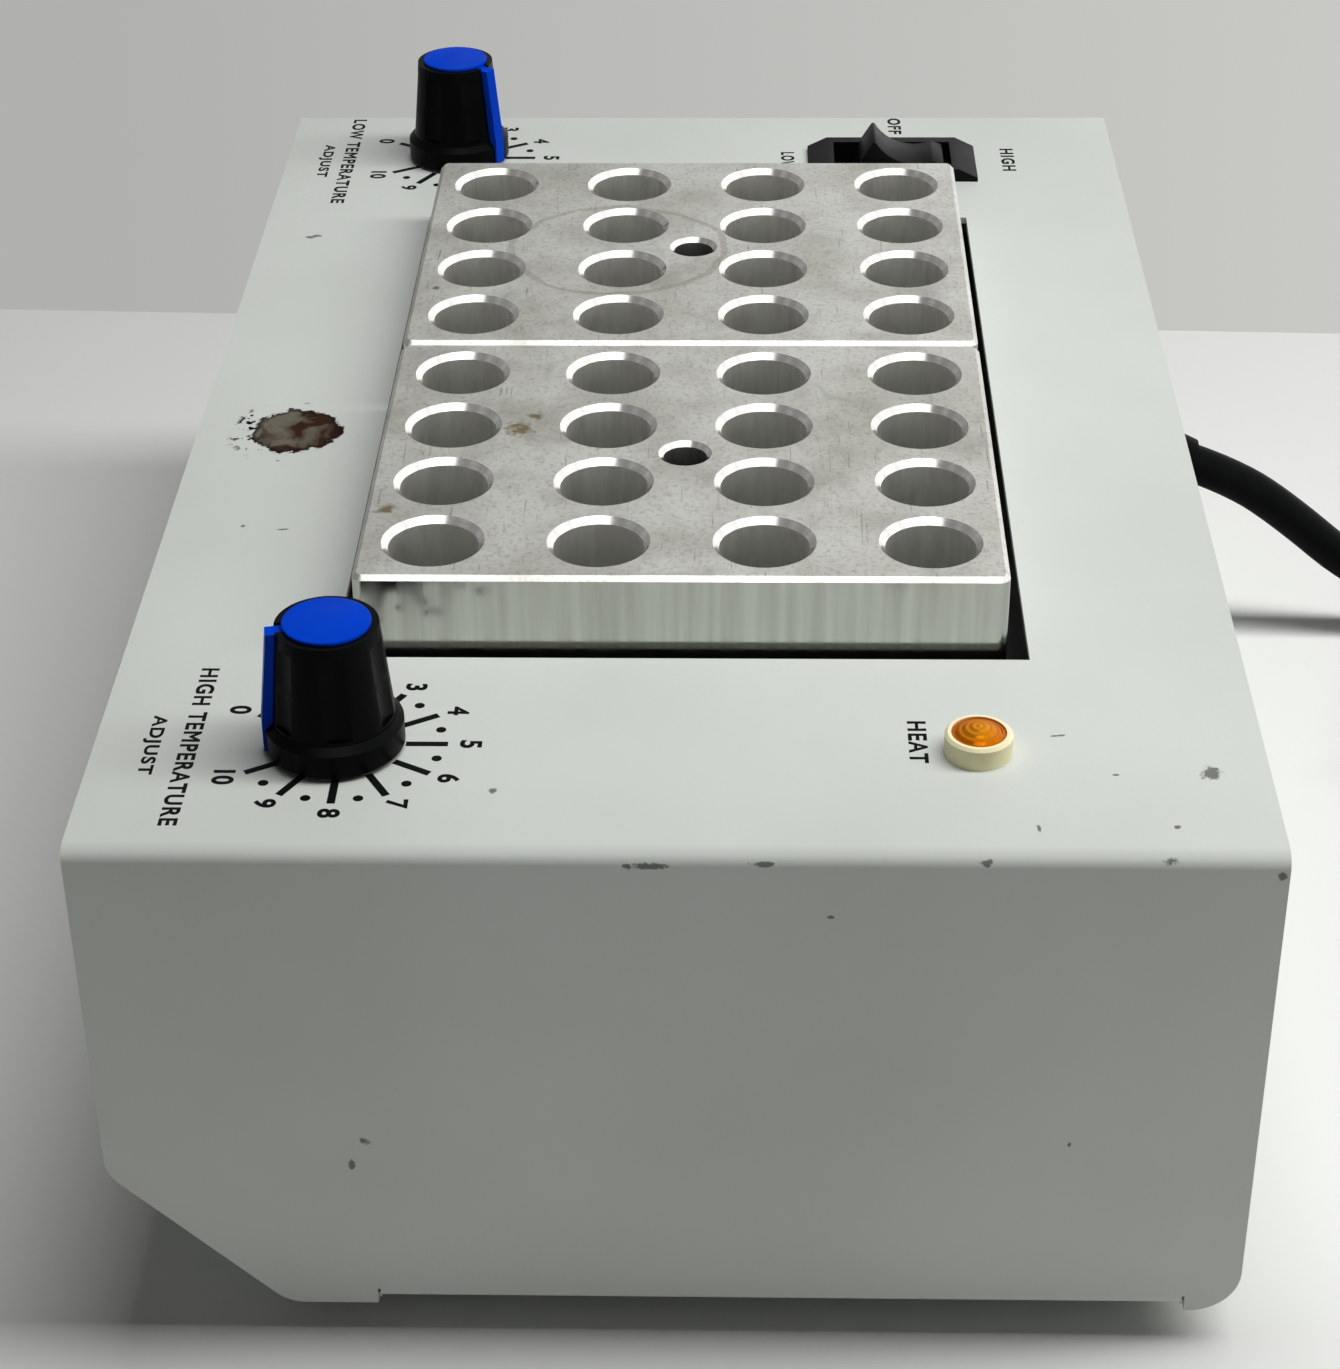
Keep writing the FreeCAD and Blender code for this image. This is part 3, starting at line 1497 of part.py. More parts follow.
def tube_along(wire, across):
    """A round tube along a wire, with its volume compared with its section times its length."""
    first = wire.Edges[0]
    heading = first.tangentAt(first.FirstParameter)
    ring = Part.Circle(first.valueAt(first.FirstParameter), heading, across / 2)
    tube = wire.makePipeShell([Part.Wire(ring.toShape())], True, False)
    expected = math.pi * (across / 2) ** 2 * wire.Length
    print(f"tube of {wire.Length:.1f} mm, volume over section times length {tube.Volume / expected:.4f}")
    return tube


def coil_wire(middle, radius, pitch, inward, outward, straight):
    """Half turns that spiral in, climb a layer in the next half turn and spiral out above, then a last
    quarter turn to the plug. Each end runs straight for a short way. Turns go clockwise from the -X side."""
    step = pitch / 2
    radii = [radius - step * turn for turn in range(inward + 2)]
    radii += [radii[-1] + step * (turn + 1) for turn in range(1, outward + 1)]
    heights = [0.0] * (inward + 1) + [pitch] * (outward + 1)
    spots = [
        middle + FreeCAD.Vector(-reach if turn % 2 == 0 else reach, 0, height)
        for turn, (reach, height) in enumerate(zip(radii, heights))
    ]
    edges = [Part.LineSegment(spots[0] - Y_AXIS * straight, spots[0]).toShape()]
    for turn, (start, end) in enumerate(zip(spots, spots[1:])):
        heading = Y_AXIS if turn % 2 == 0 else -Y_AXIS
        crest = (start + end) / 2 + heading * ((end - start).Length / 2)
        edges.append(Part.Arc(start, crest, end).toShape())
    last = radii[-1] + step / 2
    centre = spots[-1] + X_AXIS * last
    eighth = centre + FreeCAD.Vector(-math.sqrt(0.5), math.sqrt(0.5), 0) * last
    end = centre + Y_AXIS * last
    edges.append(Part.Arc(spots[-1], eighth, end).toShape())
    edges.append(Part.LineSegment(end, end + X_AXIS * straight).toShape())
    return Part.Wire(edges), end + X_AXIS * straight


def least_gap(wire, across, spacing):
    """The least gap between a wound tube and itself, between points further apart along it than a few
    diameters."""
    points = wire.discretize(Distance=spacing)
    skip = int(4 * across / spacing)
    gaps = [
        (points[late] - points[early]).Length - across
        for early in range(len(points))
        for late in range(early + skip, len(points))
    ]
    return min(gaps)


# How the free stretch falls: share of the way to the coil, share of the drop, sway in lead widths
LEAD_FALL = [
    (0.098, 0.112, 0.0),
    (0.212, 0.353, 0.0),
    (0.367, 0.752, 0.07),
    (0.583, 1.012, 0.13),
    (0.81, 1.033, 0.05),
    (1.0, 1.0, 0.0),
]


def cord_route():
    """The free stretch of the lead, from the strain relief down to the table and along it to the coil."""
    across = float(size("cord_across"))
    droop = math.radians(float(size("sleeve_droop")))
    wall = float(half_width)
    left = -float(size("cord_left"))
    sleeve = float(size("sleeve_length"))
    start_back = wall + float(size("relief_flange")) / 2 + sleeve * math.cos(droop)
    start_up = float(size("cord_exit_height")) - sleeve * math.sin(droop)
    run = wall + float(size("coil_distance")) - across - start_back
    drop = start_up - float(size("coil_lift"))
    points = [FreeCAD.Vector(left, start_back, start_up)]
    for along, down, aside in LEAD_FALL:
        points.append(FreeCAD.Vector(left + aside * across, start_back + along * run, start_up - down * drop))
    return points


def solid_piece(name, shape, node):
    """A sub-part whose shape is made along a path."""
    feature = document.addObject("Part::Feature", name)
    feature.Shape = shape
    piece(feature, node)


def make_strain_relief():
    """The moulded strain relief: a snap-in body through the back wall, a flange and a drooping sleeve."""
    x = -size("cord_left")
    z = size("cord_exit_height")
    inside = rod(
        "relief_body",
        size("relief_body_across"),
        size("relief_body_length"),
        x,
        half_width,
        z,
        X_AXIS,
        90,
    )
    flange = rod(
        "relief_flange_disc",
        size("relief_flange_across"),
        size("relief_flange"),
        x,
        half_width + size("relief_flange"),
        z,
        X_AXIS,
        90,
    )
    sleeve = document.addObject("Part::Cone", "relief_sleeve")
    bind(
        sleeve,
        Radius1=size("sleeve_foot_across") / 2,
        Radius2=size("sleeve_tip_across") / 2,
        Height=size("sleeve_length"),
    )
    lean = -90 - size("sleeve_droop")
    place(sleeve, x, half_width + size("relief_flange") / 2, z, X_AXIS, lean)
    piece(joined("relief", [inside, flange, sleeve]), "strain_relief")


def make_plug(end):
    """A moulded plug on the end of the coil, lying along +X, with two blades and an earth pin."""
    body = new_body("plug_body")
    neck = body.newObject("PartDesign::AdditiveCone", "plug_neck")
    bind(
        neck,
        Radius1=size("plug_neck_across") / 2,
        Radius2=size("plug_neck_foot_across") / 2,
        Height=size("plug_neck_length"),
    )
    document.recompute()
    grip = new_sketch(body, "plug_grip_plan", offset=size("plug_neck_length"))
    half_plug = size("plug_width") / 2
    draw_rectangle(grip, -size("plug_height") / 2, size("plug_height") / 2, -half_plug, half_plug)
    solid = pad(body, "plug_grip", grip, size("plug_length"))
    middle = size("plug_neck_length") + size("plug_length") / 2
    corners = straight_edges(solid, Z_AXIS, lambda at: near(at.z, middle))
    round_edges(body, "plug_rounds", corners, size("plug_round"))
    body.Placement = FreeCAD.Placement(end, FreeCAD.Rotation(Y_AXIS, 90))
    piece(body, "plug")

    face = end.x + float(size("plug_neck_length") + size("plug_length"))
    blades = []
    for number, side in enumerate((-1, 1)):
        spot = end.y + side * float(size("blade_spacing")) / 2
        blade = document.addObject("Part::Box", f"plug_blade_{number}")
        bind(
            blade,
            Length=size("blade_length"),
            Width=size("blade_thickness"),
            Height=size("blade_width"),
        )
        low = end.z - float(size("blade_width")) / 2
        blade.Placement.Base = FreeCAD.Vector(face, spot - float(size("blade_thickness")) / 2, low)
        blades.append(blade)
    earth = document.addObject("Part::Cylinder", "plug_earth_pin")
    bind(earth, Radius=size("earth_pin_across") / 2, Height=size("earth_pin_length"))
    earth_spot = FreeCAD.Vector(face, end.y, end.z - float(size("earth_pin_offset")))
    earth.Placement = FreeCAD.Placement(earth_spot, FreeCAD.Rotation(Y_AXIS, 90))
    pins = document.addObject("Part::Compound", "plug_pin_set")
    pins.Links = blades + [earth]
    piece(pins, "plug_pins")


def make_cord():
    """The lead: its free stretch, its put-away coil, the tie round the coil and the plug."""
    across = float(size("cord_across"))
    free, radii = route_wire(cord_route())
    print("lead's bend radii", [round(radius, 1) for radius in radii])
    solid_piece("cord_free", tube_along(free, across), "power_cord")

    out = float(size("coil_out"))
    pitch = float(size("coil_pitch"))
    lift = float(size("coil_lift"))
    back = float(half_width + size("coil_distance"))
    middle = FreeCAD.Vector(out - float(size("cord_left")), back, lift)
    inward = count("coil_inward_half_turns")
    outward = count("coil_outward_half_turns")
    wound, end = coil_wire(middle, out, pitch, inward, outward, across)
    print(f"coil's least gap to itself {least_gap(wound, across, 4.0):.2f} mm")
    print(f"lead {free.Length + wound.Length:.0f} mm from strain relief to plug")
    solid_piece("cord_wound", tube_along(wound, across), "cord_coil")

    gap = float(size("tie_gap"))
    band = float(size("tie_thickness"))
    width = float(size("tie_width"))
    inner_reach = out - pitch / 2 * (inward + 0.5) - across / 2 - gap
    outer_reach = out + pitch / 4 + across / 2 + gap
    low = lift - across / 2 - gap
    high = lift + pitch + across / 2 + gap

    def strap(wall):
        corner = FreeCAD.Vector(middle.x - width / 2, back - outer_reach - wall, low - wall)
        block = Part.makeBox(width, outer_reach - inner_reach + 2 * wall, high - low + 2 * wall, corner)
        upright = [edge for edge in block.Edges if abs(edge.tangentAt(0).dot(X_AXIS)) > 0.9]
        return block.makeFillet(float(size("tie_round")) + wall, upright)

    solid_piece("cord_band", strap(band).cut(strap(0)), "cord_tie")
    make_plug(end)


make_cover()
make_base_wrap()
make_feet()
make_well_liner()
make_heater_plate()
make_heater()
make_insulation()
make_pan_nuts()
make_heating_blocks()
for dial_name, (dial_x, dial_y) in DIALS.items():
    make_knob(dial_name, dial_x, dial_y)
    make_control(dial_name, dial_x, dial_y)
make_switch()
make_lamp()
make_board()
make_sensors()
make_strain_relief()
make_cord()

document.recompute()
failed = [thing.Name for thing in document.Objects if {"Invalid", "Error"} & set(thing.State)]
for thing in PIECES:
    if thing.Shape.isNull() or not thing.Shape.isValid() or not thing.Shape.Solids:
        failed.append(thing.Label)
if failed:
    raise RuntimeError(f"not built: {', '.join(failed)}")
os.makedirs("parts", exist_ok=True)
for thing in PIECES:
    thing.Shape.exportStep(f"parts/{thing.Label}.step")
print(f"{len(PIECES)} sub-parts written")
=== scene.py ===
"""Dresses the dry block heater: paint, metal and plastic finishes, the printed dials and words, the mains
lead and the stage that it is photographed on. The frame is in metres. Sizes and places are written in
millimetres, apart from the stage's lamp and the reach of its sheet, which are in metres."""

import json
import math

import bpy
from mathutils import Matrix, Vector

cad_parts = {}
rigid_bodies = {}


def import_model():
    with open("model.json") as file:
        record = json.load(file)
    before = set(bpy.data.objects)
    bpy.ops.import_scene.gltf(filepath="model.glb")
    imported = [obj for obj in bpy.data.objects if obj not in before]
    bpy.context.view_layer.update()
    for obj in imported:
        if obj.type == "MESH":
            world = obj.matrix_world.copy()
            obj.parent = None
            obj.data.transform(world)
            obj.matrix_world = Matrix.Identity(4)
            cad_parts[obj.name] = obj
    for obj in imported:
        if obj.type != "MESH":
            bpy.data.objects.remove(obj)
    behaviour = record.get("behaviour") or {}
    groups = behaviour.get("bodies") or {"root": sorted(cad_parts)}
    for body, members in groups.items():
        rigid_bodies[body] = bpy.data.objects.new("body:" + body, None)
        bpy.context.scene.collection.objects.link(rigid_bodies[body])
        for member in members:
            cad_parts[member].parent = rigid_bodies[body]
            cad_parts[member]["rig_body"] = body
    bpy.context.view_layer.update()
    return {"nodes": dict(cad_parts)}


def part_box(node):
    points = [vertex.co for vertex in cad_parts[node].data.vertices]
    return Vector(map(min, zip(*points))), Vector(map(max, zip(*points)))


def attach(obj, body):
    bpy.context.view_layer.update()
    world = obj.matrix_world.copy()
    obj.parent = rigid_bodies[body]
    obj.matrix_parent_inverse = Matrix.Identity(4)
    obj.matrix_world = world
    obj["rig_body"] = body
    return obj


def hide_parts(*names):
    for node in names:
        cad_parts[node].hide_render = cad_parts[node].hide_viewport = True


bl_info = {
    "name": "Dry block heater",
    "version": (1, 0, 0),
    "blender": (4, 5, 0),
    "location": "3D View > Sidebar > Block heater",
    "description": "Finishes, printing, lead and stage of a two-block dry heater",
    "category": "Object",
}

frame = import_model()
MM = 0.001
SMOOTH_ANGLE = math.radians(30)


def linear(hex_colour):
    """An sRGB hex colour as the linear colour that the shaders work in."""
    channels = [int(hex_colour[at : at + 2], 16) / 255 for at in (1, 3, 5)]
    return [c / 12.92 if c <= 0.04045 else ((c + 0.055) / 1.055) ** 2.4 for c in channels]


def colour(name, description, default):
    """A colour property, given as an sRGB hex value."""
    return bpy.props.FloatVectorProperty(
        name=name, description=description, subtype="COLOR", size=3, min=0, max=1, default=linear(default)
    )


def length(name, description, default):
    """A length property, given in millimetres and kept in metres."""
    return bpy.props.FloatProperty(
        name=name, description=description, unit="LENGTH", precision=5, default=default * MM
    )


# Settings


class CaseFinish(bpy.types.PropertyGroup):
    paint: colour("Paint", "Light grey enamel of the case", "#CFD3CE")
    paint_worn: colour("Worn paint", "Enamel where hands and cloths have dulled it", "#C3C7C1")
    scuff: colour("Scuff", "Grey marks rubbed into the enamel", "#6B6C66")
    bare: colour("Bare steel", "Steel under the chipped enamel", "#69655A")
    rust: colour("Rust", "Rust that has crept over the bare steel", "#35231A")
    # painted shadow: the dark round the chip is the shade that the cut edge of the paint throws into it
    rust_dark: colour("Chip edge shadow", "Painted shadow of the paint's cut edge, round the chip", "#120D0A")
    chip_x: length("Chip right", "Middle of the paint chip, to the user's right", 9.6)
    chip_y: length("Chip back", "Middle of the paint chip, towards the back", -65.2)
    chip_reach: length("Chip reach", "Half the width of the paint chip", 7.6)


class BlockFinish(bpy.types.PropertyGroup):
    aluminium: colour("Aluminium", "Machined aluminium of the blocks", "#E6E6DF")
    dull: colour("Dull aluminium", "Aluminium greyed by use", "#C4C3B9")
    stain: colour("Stain", "Spilt sample dried on the block", "#8B8064")
    grime: colour("Grime", "Grey dirt rubbed into the block", "#8F8F87")
    rim: colour("Rim", "Freshly cut rim of a bore", "#F2F1EC")
    bore: colour("Bore", "Wall of a bore", "#F6F6F0")
    side: colour("Side", "Sides of the blocks", "#BFC1BA")


class PlasticFinish(bpy.types.PropertyGroup):
    knob: colour("Knob", "Black moulded knob", "#020303")
    cap: colour("Cap", "Blue cap and pointer", "#003EC4")
    switch: colour("Switch", "Black moulded switch", "#0F110F")
    ivory: colour("Ivory", "Ivory bezel of the lamp", "#FFF0C4")
    amber: colour("Amber", "Amber lens of the lamp, at its rim", "#B85A00")
    # painted glow: the lens's middle is painted a brighter yellow for the light that its rings throw back
    amber_clear: colour("Amber glow", "Painted glow of the lamp's lens, at its middle", "#F2A81C")
    glint: colour("Glint", "Light that the lens throws back", "#FFAE20")
    sheath: colour("Sheath", "Black sheath of the lead", "#050606")
    ink: colour("Ink", "Black printing ink", "#060707")


class PrintSizes(bpy.types.PropertyGroup):
    tick_start: length("Tick start", "Reach of a tick's inner end from the dial's middle", 8.8)
    tick_end: length("Tick end", "Reach of a tick's outer end", 14.7)
    tick_width: length("Tick width", "Width of a tick", 1.15)
    dot_reach: length("Dot reach", "Reach of the half-step dots", 13.9)
    dot_across: length("Dot width", "Width of a half-step dot", 1.45)
    number_reach: length("Number reach", "Reach of the numbers' middles, to front and back", 17.9)
    number_squash: length("Number squash", "How much less the numbers reach to the sides", 0.9)
    number_height: length("Number height", "Height of the numbers", 3.1)
    word_height: length("Word height", "Height of the words", 2.65)
    ink_rise: length("Ink rise", "How far the ink stands on the paint", 0.04)
    step_angle: bpy.props.FloatProperty(
        name="Step", description="Turn from one number to the next", subtype="ANGLE", default=math.radians(30)
    )
    zero_angle: bpy.props.FloatProperty(
        name="Zero", description="Where the zero is", subtype="ANGLE", default=math.radians(240)
    )


class LeadSizes(bpy.types.PropertyGroup):
    across: length("Lead width", "Width of the mains lead", 7.6)
    whole: length("Lead length", "Length of the lead from its strain relief to its plug", 1816.0)
    pitch: length("Coil pitch", "Spacing of the put-away turns", 8.2)


class StageSettings(bpy.types.PropertyGroup):
    floor: colour("Floor", "White sheet under the heater", "#E9EAE7")
    # painted light: the two greys are one wall, painted paler where more light falls on it from the right
    wall_left: colour("Wall, left", "Grey behind the sheet on the left", "#B0B1AE")
    wall_right: colour("Wall, right", "Grey behind the sheet on the right", "#C9CAC6")
    lens: bpy.props.FloatProperty(name="Lens", description="Camera lens", unit="CAMERA", default=79.87)
    roll: bpy.props.FloatProperty(
        name="Roll", description="Camera roll", subtype="ANGLE", default=math.radians(-0.656)
    )
    key: bpy.props.FloatProperty(
        name="Key light", description="Soft light overhead", unit="POWER", default=13.0
    )
    ambient: bpy.props.FloatProperty(name="Ambient", description="Light from all round", default=0.06)


# Tools


def settings(group):
    """One of the groups of settings on the scene."""
    return getattr(bpy.context.scene, f"heater_{group}")


def opaque(rgb):
    """A colour with its alpha."""
    return (*rgb, 1.0)


def per(size):
    """The scale at which a pattern has features of a size in millimetres."""
    return 1 / (size * MM)


def add(tree, kind, links=None, **values):
    """Adds a node, sets its values and its inputs, and links the inputs that are given a socket."""
    node = tree.nodes.new(kind)
    for name, value in values.items():
        setattr(node, name, value)
    for name, value in (links or {}).items():
        if isinstance(value, bpy.types.NodeSocket):
            tree.links.new(value, node.inputs[name])
        else:
            node.inputs[name].default_value = value
    return node


def new_material(name, **values):
    """A material, with constants set on its shader. Returns its tree, its shader and its coordinates."""
    material = bpy.data.materials.new(name)
    material.use_nodes = True
    tree = material.node_tree
    shader = tree.nodes["Principled BSDF"]
    for socket, value in values.items():
        shader.inputs[socket.replace("_", " ")].default_value = value
    place = add(tree, "ShaderNodeTexCoord").outputs["Object"]
    return tree, shader, place


def only(*things):
    """Selects these things alone, the first one active."""
    if bpy.context.object and bpy.context.object.mode != "OBJECT":
        bpy.ops.object.mode_set(mode="OBJECT")
    bpy.ops.object.select_all(action="DESELECT")
    for thing in things:
        thing.select_set(True)
    bpy.context.view_layer.objects.active = things[0]


def smoothed(node, *materials):
    """A copy of a CAD node with its triangles merged and its round faces shaded smooth, in its place."""
    source = frame["nodes"][node]
    form = bpy.data.objects.new(f"{node}_form", source.data.copy())
    bpy.context.scene.collection.objects.link(form)
    only(form)
    bpy.ops.object.mode_set(mode="EDIT")
    bpy.ops.mesh.select_all(action="SELECT")
    bpy.ops.mesh.remove_doubles(threshold=0.001 * MM)
    bpy.ops.object.mode_set(mode="OBJECT")
    bpy.ops.mesh.customdata_custom_splitnormals_clear()
    bpy.ops.object.shade_smooth_by_angle(angle=SMOOTH_ANGLE)
    form.data.materials.clear()
    for material in materials:
        form.data.materials.append(bpy.data.materials[material])
    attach(form, source["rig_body"])
    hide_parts(node)
    return form


def traced(name, points):
    """A wire through points, grown from one vertex and left in edit mode."""
    bpy.ops.mesh.primitive_plane_add(size=MM)
    thing = bpy.context.object
    thing.name = name
    bpy.ops.object.mode_set(mode="EDIT")
    bpy.ops.mesh.select_all(action="SELECT")
    bpy.ops.mesh.merge(type="CENTER")
    bpy.ops.transform.translate(value=points[0])
    for start, end in zip(points, points[1:]):
        bpy.ops.mesh.extrude_region_move(TRANSFORM_OT_translate={"value": end - start})
    bpy.ops.mesh.select_all(action="SELECT")
    return thing


def blotches(tree, place, marks):
    """The strongest of some soft round marks, each with its middle, its reach along each axis and its turn
    in degrees. A mark is 1 at its middle and 0 at its reach."""
    strongest = 0.0
    for middle, reach, turn in marks:
        spot = add(
            tree,
            "ShaderNodeMapping",
            {"Vector": place, "Location": middle, "Rotation": (0, 0, math.radians(turn)), "Scale": reach},
            vector_type="TEXTURE",
        )
        mark = add(tree, "ShaderNodeTexGradient", {"Vector": spot.outputs[0]}, gradient_type="SPHERICAL")
        both = {0: strongest, 1: mark.outputs["Fac"]}
        strongest = add(tree, "ShaderNodeMath", both, operation="MAXIMUM").outputs[0]
    return strongest


def coat(material, *nodes):
    """Gives CAD nodes a material."""
    for node in nodes:
        mesh = frame["nodes"][node].data
        mesh.materials.clear()
        mesh.materials.append(bpy.data.materials[material])


# Stage


class STAGE_OT_heater(bpy.types.Operator):
    """Camera, white sheet, grey surround and soft light"""

    bl_idname = "heater.stage"
    bl_label = "Stage"

    place = Vector((454.784, 9.578, 319.811)) * MM
    aim = Vector((46.412, -2.550, 60.0)) * MM
    sheet_back = -211 * MM
    sheet_turn = math.radians(-2.2)
    sheet_reach = 3.0
    key_place = Vector((0.04, 0.70, 0.85))
    key_size = (0.2, 1.6)
    tube_lamp = Vector((0.53, 0.05, 0.85))

    def execute(self, context):
        look = settings("stage")
        scene = context.scene
        scene.view_settings.view_transform = "Standard"
        bpy.ops.object.camera_add(location=self.place)
        camera = context.object
        toward = (self.aim - self.place).to_track_quat("-Z", "Y")
        camera.rotation_mode = "QUATERNION"
        camera.rotation_quaternion = toward @ Matrix.Rotation(look.roll, 3, "Z").to_quaternion()
        camera.data.lens = look.lens
        scene.camera = camera

        middle = Matrix.Rotation(self.sheet_turn, 3, "Z") @ Vector((self.sheet_reach / 2, 0, 0))
        middle.x += self.sheet_back
        bpy.ops.mesh.primitive_plane_add(size=1, location=middle, rotation=(0, 0, self.sheet_turn))
        sheet = context.object
        sheet.name = "sheet"
        sheet.scale = (self.sheet_reach, 2 * self.sheet_reach, 1)
        bpy.ops.object.transform_apply(location=True, rotation=True, scale=True)
        # matt white paper: no sheen, so that it shows only the light and the shadow
        new_material("paper_sheet", Roughness=0.9, Base_Color=opaque(look.floor))
        sheet.data.materials.append(bpy.data.materials["paper_sheet"])

        bpy.ops.object.light_add(type="AREA", location=self.key_place)
        key = context.object
        key.data.shape = "RECTANGLE"
        key.data.size, key.data.size_y = self.key_size
        key.data.energy = look.key
        # the surround gives the reflections, so the lamp burns no patch into the metal
        key.visible_glossy = False

        world = bpy.data.worlds.new("surround")
        scene.world = world
        world.use_nodes = True
        tree = world.node_tree
        around = tree.nodes["Background"]
        path = add(tree, "ShaderNodeLightPath")
        shown = add(
            tree,
            "ShaderNodeMath",
            {0: path.outputs["Is Camera Ray"], 1: path.outputs["Is Transmission Ray"]},
            operation="MAXIMUM",
        )
        direction = add(tree, "ShaderNodeTexCoord").outputs["Generated"]
        axes = add(tree, "ShaderNodeSeparateXYZ", {0: direction}).outputs
        # what gloss and metal mirror: a window on the back side and a lamp over the camera, in uneven bands
        window = add(
            tree,
            "ShaderNodeMapRange",
            {"Value": axes["Y"], "From Min": -0.45, "From Max": 0.6, "To Min": 0.3, "To Max": 1.35},
            interpolation_type="SMOOTHSTEP",
        )
        bands = add(tree, "ShaderNodeTexNoise", {"Vector": direction, "Scale": 4, "Detail": 1})
        lamps = add(
            tree,
            "ShaderNodeMapRange",
            {"Value": bands.outputs["Fac"], "From Min": 0.4, "From Max": 0.6, "To Min": 0.8, "To Max": 1.2},
        )
        facing = add(
            tree, "ShaderNodeVectorMath", {0: direction, 1: self.tube_lamp}, operation="DOT_PRODUCT"
        ).outputs["Value"]
        tube = add(
            tree,
            "ShaderNodeMapRange",
            {"Value": facing, "From Min": 0.89, "From Max": 0.98, "To Max": 2.0},
            interpolation_type="SMOOTHSTEP",
        )
        lit = add(
            tree,
            "ShaderNodeMath",
            {0: window.outputs["Result"], 1: tube.outputs["Result"]},
            operation="ADD",
        )
        shine = add(
            tree, "ShaderNodeMath", {0: lit.outputs[0], 1: lamps.outputs["Result"]}, operation="MULTIPLY"
        )
        thrown = add(
            tree,
            "ShaderNodeMix",
            {0: path.outputs["Is Glossy Ray"], 2: look.ambient, 3: shine.outputs[0]},
        )
        light = add(tree, "ShaderNodeMix", {0: shown.outputs[0], 2: thrown.outputs[0], 3: 1.0})
        # what the camera sees behind the sheet: one grey wall, with painted light that makes it paler on the
        # right
        across = add(tree, "ShaderNodeMapRange", {"Value": axes["Y"], "From Min": -0.2, "From Max": 0.2})
        wall = add(
            tree,
            "ShaderNodeMix",
            {0: across.outputs["Result"], 6: opaque(look.wall_left), 7: opaque(look.wall_right)},
            data_type="RGBA",
        )
        tint = add(
            tree,
            "ShaderNodeMix",
            {0: shown.outputs[0], 6: opaque((1, 1, 1)), 7: wall.outputs[2]},
            data_type="RGBA",
        )
        tree.links.new(tint.outputs[2], around.inputs["Color"])
        tree.links.new(light.outputs[0], around.inputs["Strength"])
        return {"FINISHED"}


# Mains lead


